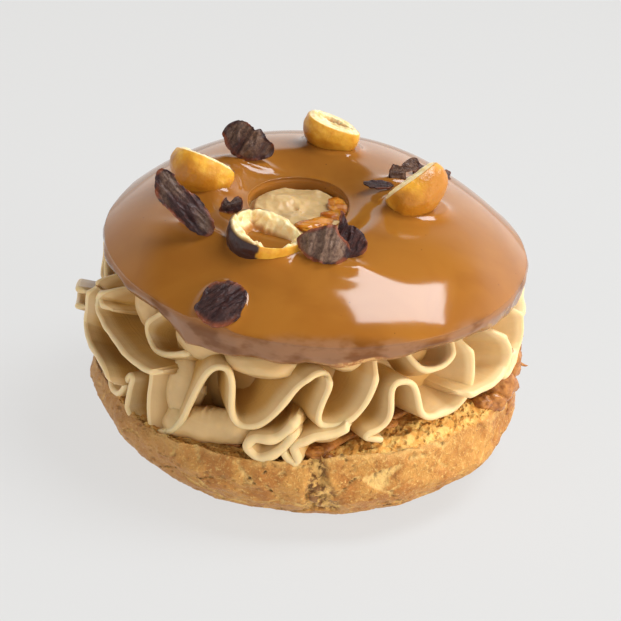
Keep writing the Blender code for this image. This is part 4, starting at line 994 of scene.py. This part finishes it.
def flake(outline, cup, ribs, wrinkle, grey, seed, sectors=150, rings=34):
    """A thin wrinkled skin: its points, faces and masks in mm round its own middle."""
    edge = closed_curve(outline, sectors)
    middle = edge.mean(0)
    heading, spacing, depth = ribs
    size = np.hypot(*(edge - middle).T).max()
    share = np.linspace(0.03, 1.0, rings)[:, None, None]
    spots = middle + (edge - middle) * share
    flat = np.concatenate([spots, np.full((*spots.shape[:2], 1), 7.0 * seed)], -1)
    fray = smoothstep((share[..., 0] - 0.75) / 0.25)
    spots = spots + (fray * (0.22 * relief(flat, 1.1, 3.0) + 0.12 * relief(flat, 0.45, 4.0)))[..., None]
    u, v = spots[..., 0] - middle[0], spots[..., 1] - middle[1]
    turn = math.radians(heading)
    lengthwise = u * math.cos(turn) + v * math.sin(turn)
    crosswise = v * math.cos(turn) - u * math.sin(turn)
    z = cup * (0.5 - 0.75 * (crosswise / size) ** 2 - 0.30 * (lengthwise / size) ** 2)
    grain = np.stack([lengthwise * 0.35, crosswise, flat[..., 2]], -1)
    bend = crosswise + 0.8 * relief(grain, 4.0, 5.0)
    z = z + depth * np.cos(2.0 * math.pi * bend / spacing) * smoothstep(share[..., 0] * 2.0)
    z = z + wrinkle * (0.7 * relief(grain, 2.6, 6.0, 2) - 1.1 * np.abs(relief(grain, 1.5, 8.0, 2)))
    z = z + fray * 0.35 * relief(flat, 1.4, 9.0)
    top = np.stack([spots[..., 0], spots[..., 1], z + SKIN_HALF], -1)
    under = np.stack([spots[..., 0], spots[..., 1], z - SKIN_HALF], -1)
    points = np.concatenate([top, under[::-1]])
    faces = grid_faces(2 * rings, sectors)
    faces.append(tuple(range(sectors))[::-1])
    faces.append(tuple(range((2 * rings - 1) * sectors, 2 * rings * sectors)))
    faces = [face[::-1] for face in faces]
    rim = fray * np.ones_like(z)
    # pale: greyish patches, fewer at the torn rim: partly dusty skin, partly a painted sheen
    pale = grey * smoothstep((relief(grain, 3.0, 10.0) + 0.45 - 0.8 * rim) * 2.0)
    masks = np.stack([np.concatenate([pale, pale[::-1]]), np.concatenate([rim, rim[::-1]])], -1)
    return points.reshape(-1, 3), faces, masks.reshape(-1, 2)


def make_flakes(mat):
    for index, spec in enumerate(FLAKES, start=1):
        spot = spec.pop("spot")
        points, faces, masks = flake(seed=index, **spec)
        obj = add_mesh(f"skin_flake_{index}", points * MM, faces, mat, dict(grey=masks[:, 0], rim=masks[:, 1]))
        obj.data.transform(topping_frame(*spot, on_slope=(index == 6)))
        place(obj, "hazelnut_skin", f"nut_skin_{index}")
    parts = []
    for index, ((x, y), size, heading) in enumerate(SCRAPS):
        corners = [(size * 0.5 * math.cos(k) * (1.0 + 0.3 * math.sin(5.0 * k + index)),
                    size * 0.42 * math.sin(k) * (1.0 + 0.3 * math.cos(3.0 * k + 2.0 * index)))
                   for k in np.linspace(0.0, 2.0 * math.pi, 8, endpoint=False)]
        points, faces, masks = flake(corners, 0.4, (0, 1.5, 0.1), 0.2, 0.4, 20 + index, 48, 10)
        frame = topping_frame(x, y, 0.5 * size, heading, 50, 0)
        points = np.array([tuple(frame @ Vector(p)) for p in points * MM])
        parts.append((points, faces, masks))
    points, faces, masks = join(parts)
    obj = add_mesh("skin_scraps", points, faces, mat, dict(grey=masks[:, 0], rim=masks[:, 1]))
    place(obj, "hazelnut_skin")


def nut_material():
    s = Shader("hazelnut_flesh", 0.28, 0.20, (0.0025, 0.0014, 0.0005), ior=1.5)
    grain = s.noise(1.6 * MM, 4.0)
    pale = s.blend(s.ramp(grain, 0.35, 0.7), (0.90, 0.74, 0.42), (0.82, 0.56, 0.22))
    gold = s.blend(s.ramp(grain, 0.3, 0.7), (0.72, 0.385, 0.045), (0.62, 0.27, 0.022))
    colour = s.blend(s.mask("back"), pale, gold)
    colour = s.blend(s.mask("toast"), colour, (0.44, 0.165, 0.012))
    colour = s.blend(s.mask("stain"), colour, (0.48, 0.19, 0.04))
    s.colour(s.blend(s.mask("skin"), colour, (0.035, 0.012, 0.010)))
    s.bump((grain, 0.0002), (s.noise(0.5 * MM, 3.0), 0.00006))
    return s.mat


def skin_material():
    s = Shader("hazelnut_skin", 0.28, 0.0)
    lines = s.noise(0.9 * MM, 5.0, roughness=0.7)
    dark = s.blend(s.ramp(lines, 0.35, 0.7), (0.020, 0.006, 0.006), (0.060, 0.018, 0.014))
    rust = s.math("MULTIPLY", s.mask("rim"), s.ramp(s.noise(4 * MM, 2.0), 0.42, 0.55))
    dark = s.blend(rust, dark, (0.22, 0.055, 0.02))
    # greyish patches: partly dusty skin, partly a painted sheen
    dust_and_sheen = s.blend(s.ramp(lines, 0.35, 0.65), (0.095, 0.046, 0.030), (0.27, 0.17, 0.11))
    s.colour(s.blend(s.mask("grey"), dark, dust_and_sheen))
    s.bump((lines, 0.0003), (s.noise(0.3 * MM, 3.0), 0.0001))
    return s.mat


def caramel_material():
    s = Shader("clear_caramel", 0.06, 0.3, (0.003, 0.001, 0.0003))
    s.colour(s.blend(s.ramp(s.noise(3 * MM, 2.0), 0.35, 0.7), (0.62, 0.23, 0.02), (0.36, 0.09, 0.006)))
    s.bump((s.noise(1.5 * MM, 2.0), 0.0002))
    return s.mat


def praline_material():
    s = Shader("praline_paste", 0.16, 0.1, (0.002, 0.0007, 0.0003))
    grain = s.noise(1.2 * MM, 4.0)
    s.colour(s.blend(s.ramp(grain, 0.35, 0.7), (0.46, 0.190, 0.045), (0.26, 0.090, 0.022)))
    s.bump((grain, 0.00022), (s.noise(0.4 * MM, 3.0), 0.00004))
    return s.mat


# ---------------------------------------------------------------- stage

def make_stage():
    floor = add_mesh("floor", np.array([(-3, -3, 0), (3, -3, 0), (3, 3, 0), (-3, 3, 0)], float), [(0, 1, 2, 3)],
                     floor_material())
    scene = bpy.context.scene
    world = bpy.data.worlds.new("studio")
    scene.world = world
    world.use_nodes = True
    tree = world.node_tree
    shine = tree.nodes["Background"]
    where = tree.nodes.new("ShaderNodeTexCoord")
    split = tree.nodes.new("ShaderNodeSeparateXYZ")
    ramp = tree.nodes.new("ShaderNodeMapRange")
    ramp.interpolation_type = "SMOOTHSTEP"
    for key, value in (("From Min", 0.48), ("From Max", 0.74), ("To Min", 0.92), ("To Max", 0.08)):
        ramp.inputs[key].default_value = value
    tree.links.new(where.outputs["Generated"], split.inputs[0])
    tree.links.new(split.outputs["Z"], ramp.inputs["Value"])
    tree.links.new(ramp.outputs["Result"], shine.inputs["Strength"])
    bright = tree.nodes.new("ShaderNodeVectorMath")
    bright.operation = "DOT_PRODUCT"
    bright.inputs[1].default_value = (0.50, 0.46, 0.0)
    lean = tree.nodes.new("ShaderNodeMath")
    lean.operation = "MULTIPLY_ADD"
    lean.inputs[2].default_value = 1.0
    tree.links.new(where.outputs["Generated"], bright.inputs[0])
    tree.links.new(bright.outputs["Value"], lean.inputs[0])
    lean.inputs[1].default_value = 1.0
    product = tree.nodes.new("ShaderNodeMath")
    product.operation = "MULTIPLY"
    tree.links.new(lean.outputs[0], product.inputs[0])
    tree.links.new(ramp.outputs["Result"], product.inputs[1])
    tree.links.new(product.outputs[0], shine.inputs["Strength"])
    shine.inputs["Color"].default_value = (1.0, 0.985, 0.97, 1.0)
    softbox("softbox", (0.38, 0.0, 0.80), (0.0, 0.0, 0.045), 0.32, 0.51, 6.2, (0.93, 1.0, 1.06), 25.0)
    softbox("side_light", (0.70, -0.36, 0.22), (0.0, 0.0, 0.03), 0.35, 0.35, 3.8, (1.0, 0.94, 0.84))
    softbox("low_light", (0.66, -0.56, 0.09), (0.0, 0.0, 0.04), 0.4, 0.15, 2.1, (1.0, 0.97, 0.92))
    softbox("fill_light", (-0.62, -0.50, 0.22), (0.0, 0.0, 0.03), 0.5, 0.4, 2.0, (0.97, 0.98, 1.0))
    scene.view_settings.view_transform = "Standard"


def softbox(name, spot, target, width, depth, power, colour, twist=0.0):
    light = bpy.data.lights.new(name, "AREA")
    light.shape = "RECTANGLE"
    light.size = width
    light.size_y = depth
    light.energy = power
    light.color = colour
    obj = bpy.data.objects.new(name, light)
    bpy.context.scene.collection.objects.link(obj)
    obj.visible_glossy = name == "softbox"
    aim = (Vector(target) - Vector(spot)).to_track_quat("-Z", "Y").to_matrix().to_4x4()
    obj.matrix_world = Matrix.Translation(spot) @ aim @ Matrix.Rotation(math.radians(twist), 4, "Z")


def floor_material():
    s = Shader("pale_floor", 0.8)
    s.colour(s.blend(s.noise(0.5, 1.0), (0.118, 0.117, 0.116), (0.122, 0.121, 0.12)))
    s.bsdf.inputs["Specular IOR Level"].default_value = 0.0
    s.bsdf.inputs["Emission Color"].default_value = (0.807, 0.800, 0.788, 1.0)
    s.bsdf.inputs["Emission Strength"].default_value = 0.81
    s.bump((s.noise(0.02, 2.0), 0.0001))
    return s.mat


def make_camera():
    lift = math.radians(26.0)
    roll = math.radians(4.27)
    ahead = Vector((0.0, math.cos(lift), -math.sin(lift)))
    right = Vector((1.0, 0.0, 0.0))
    up = right.cross(ahead)
    turned_right = math.cos(roll) * right + math.sin(roll) * up
    turned_up = -math.sin(roll) * right + math.cos(roll) * up
    spot = Vector((0.0, 0.0, 0.0326)) - 0.5 * ahead
    data = bpy.data.cameras.new("camera")
    data.sensor_width = 36.0
    data.lens = 124.3
    data.clip_start = 0.01
    camera = bpy.data.objects.new("camera", data)
    bpy.context.scene.collection.objects.link(camera)
    camera.matrix_world = Matrix([(*row, 0.0) for row in zip(turned_right, turned_up, -ahead)]
                                 + [(0.0, 0.0, 0.0, 1.0)])
    camera.matrix_world.translation = spot
    bpy.context.scene.camera = camera


make_camera()
make_stage()
crust = crust_material()
cream = cream_material()
glaze = glaze_material()
nut = nut_material()
skin = skin_material()
make_base(crust)
make_lid(glaze)
make_cream(cream)
make_plug(cream, caramel_material())
make_praline(praline_material())
for number, spec in enumerate(NUTS, start=1):
    nut_mesh(number, mat=nut, **spec)
make_flakes(skin)
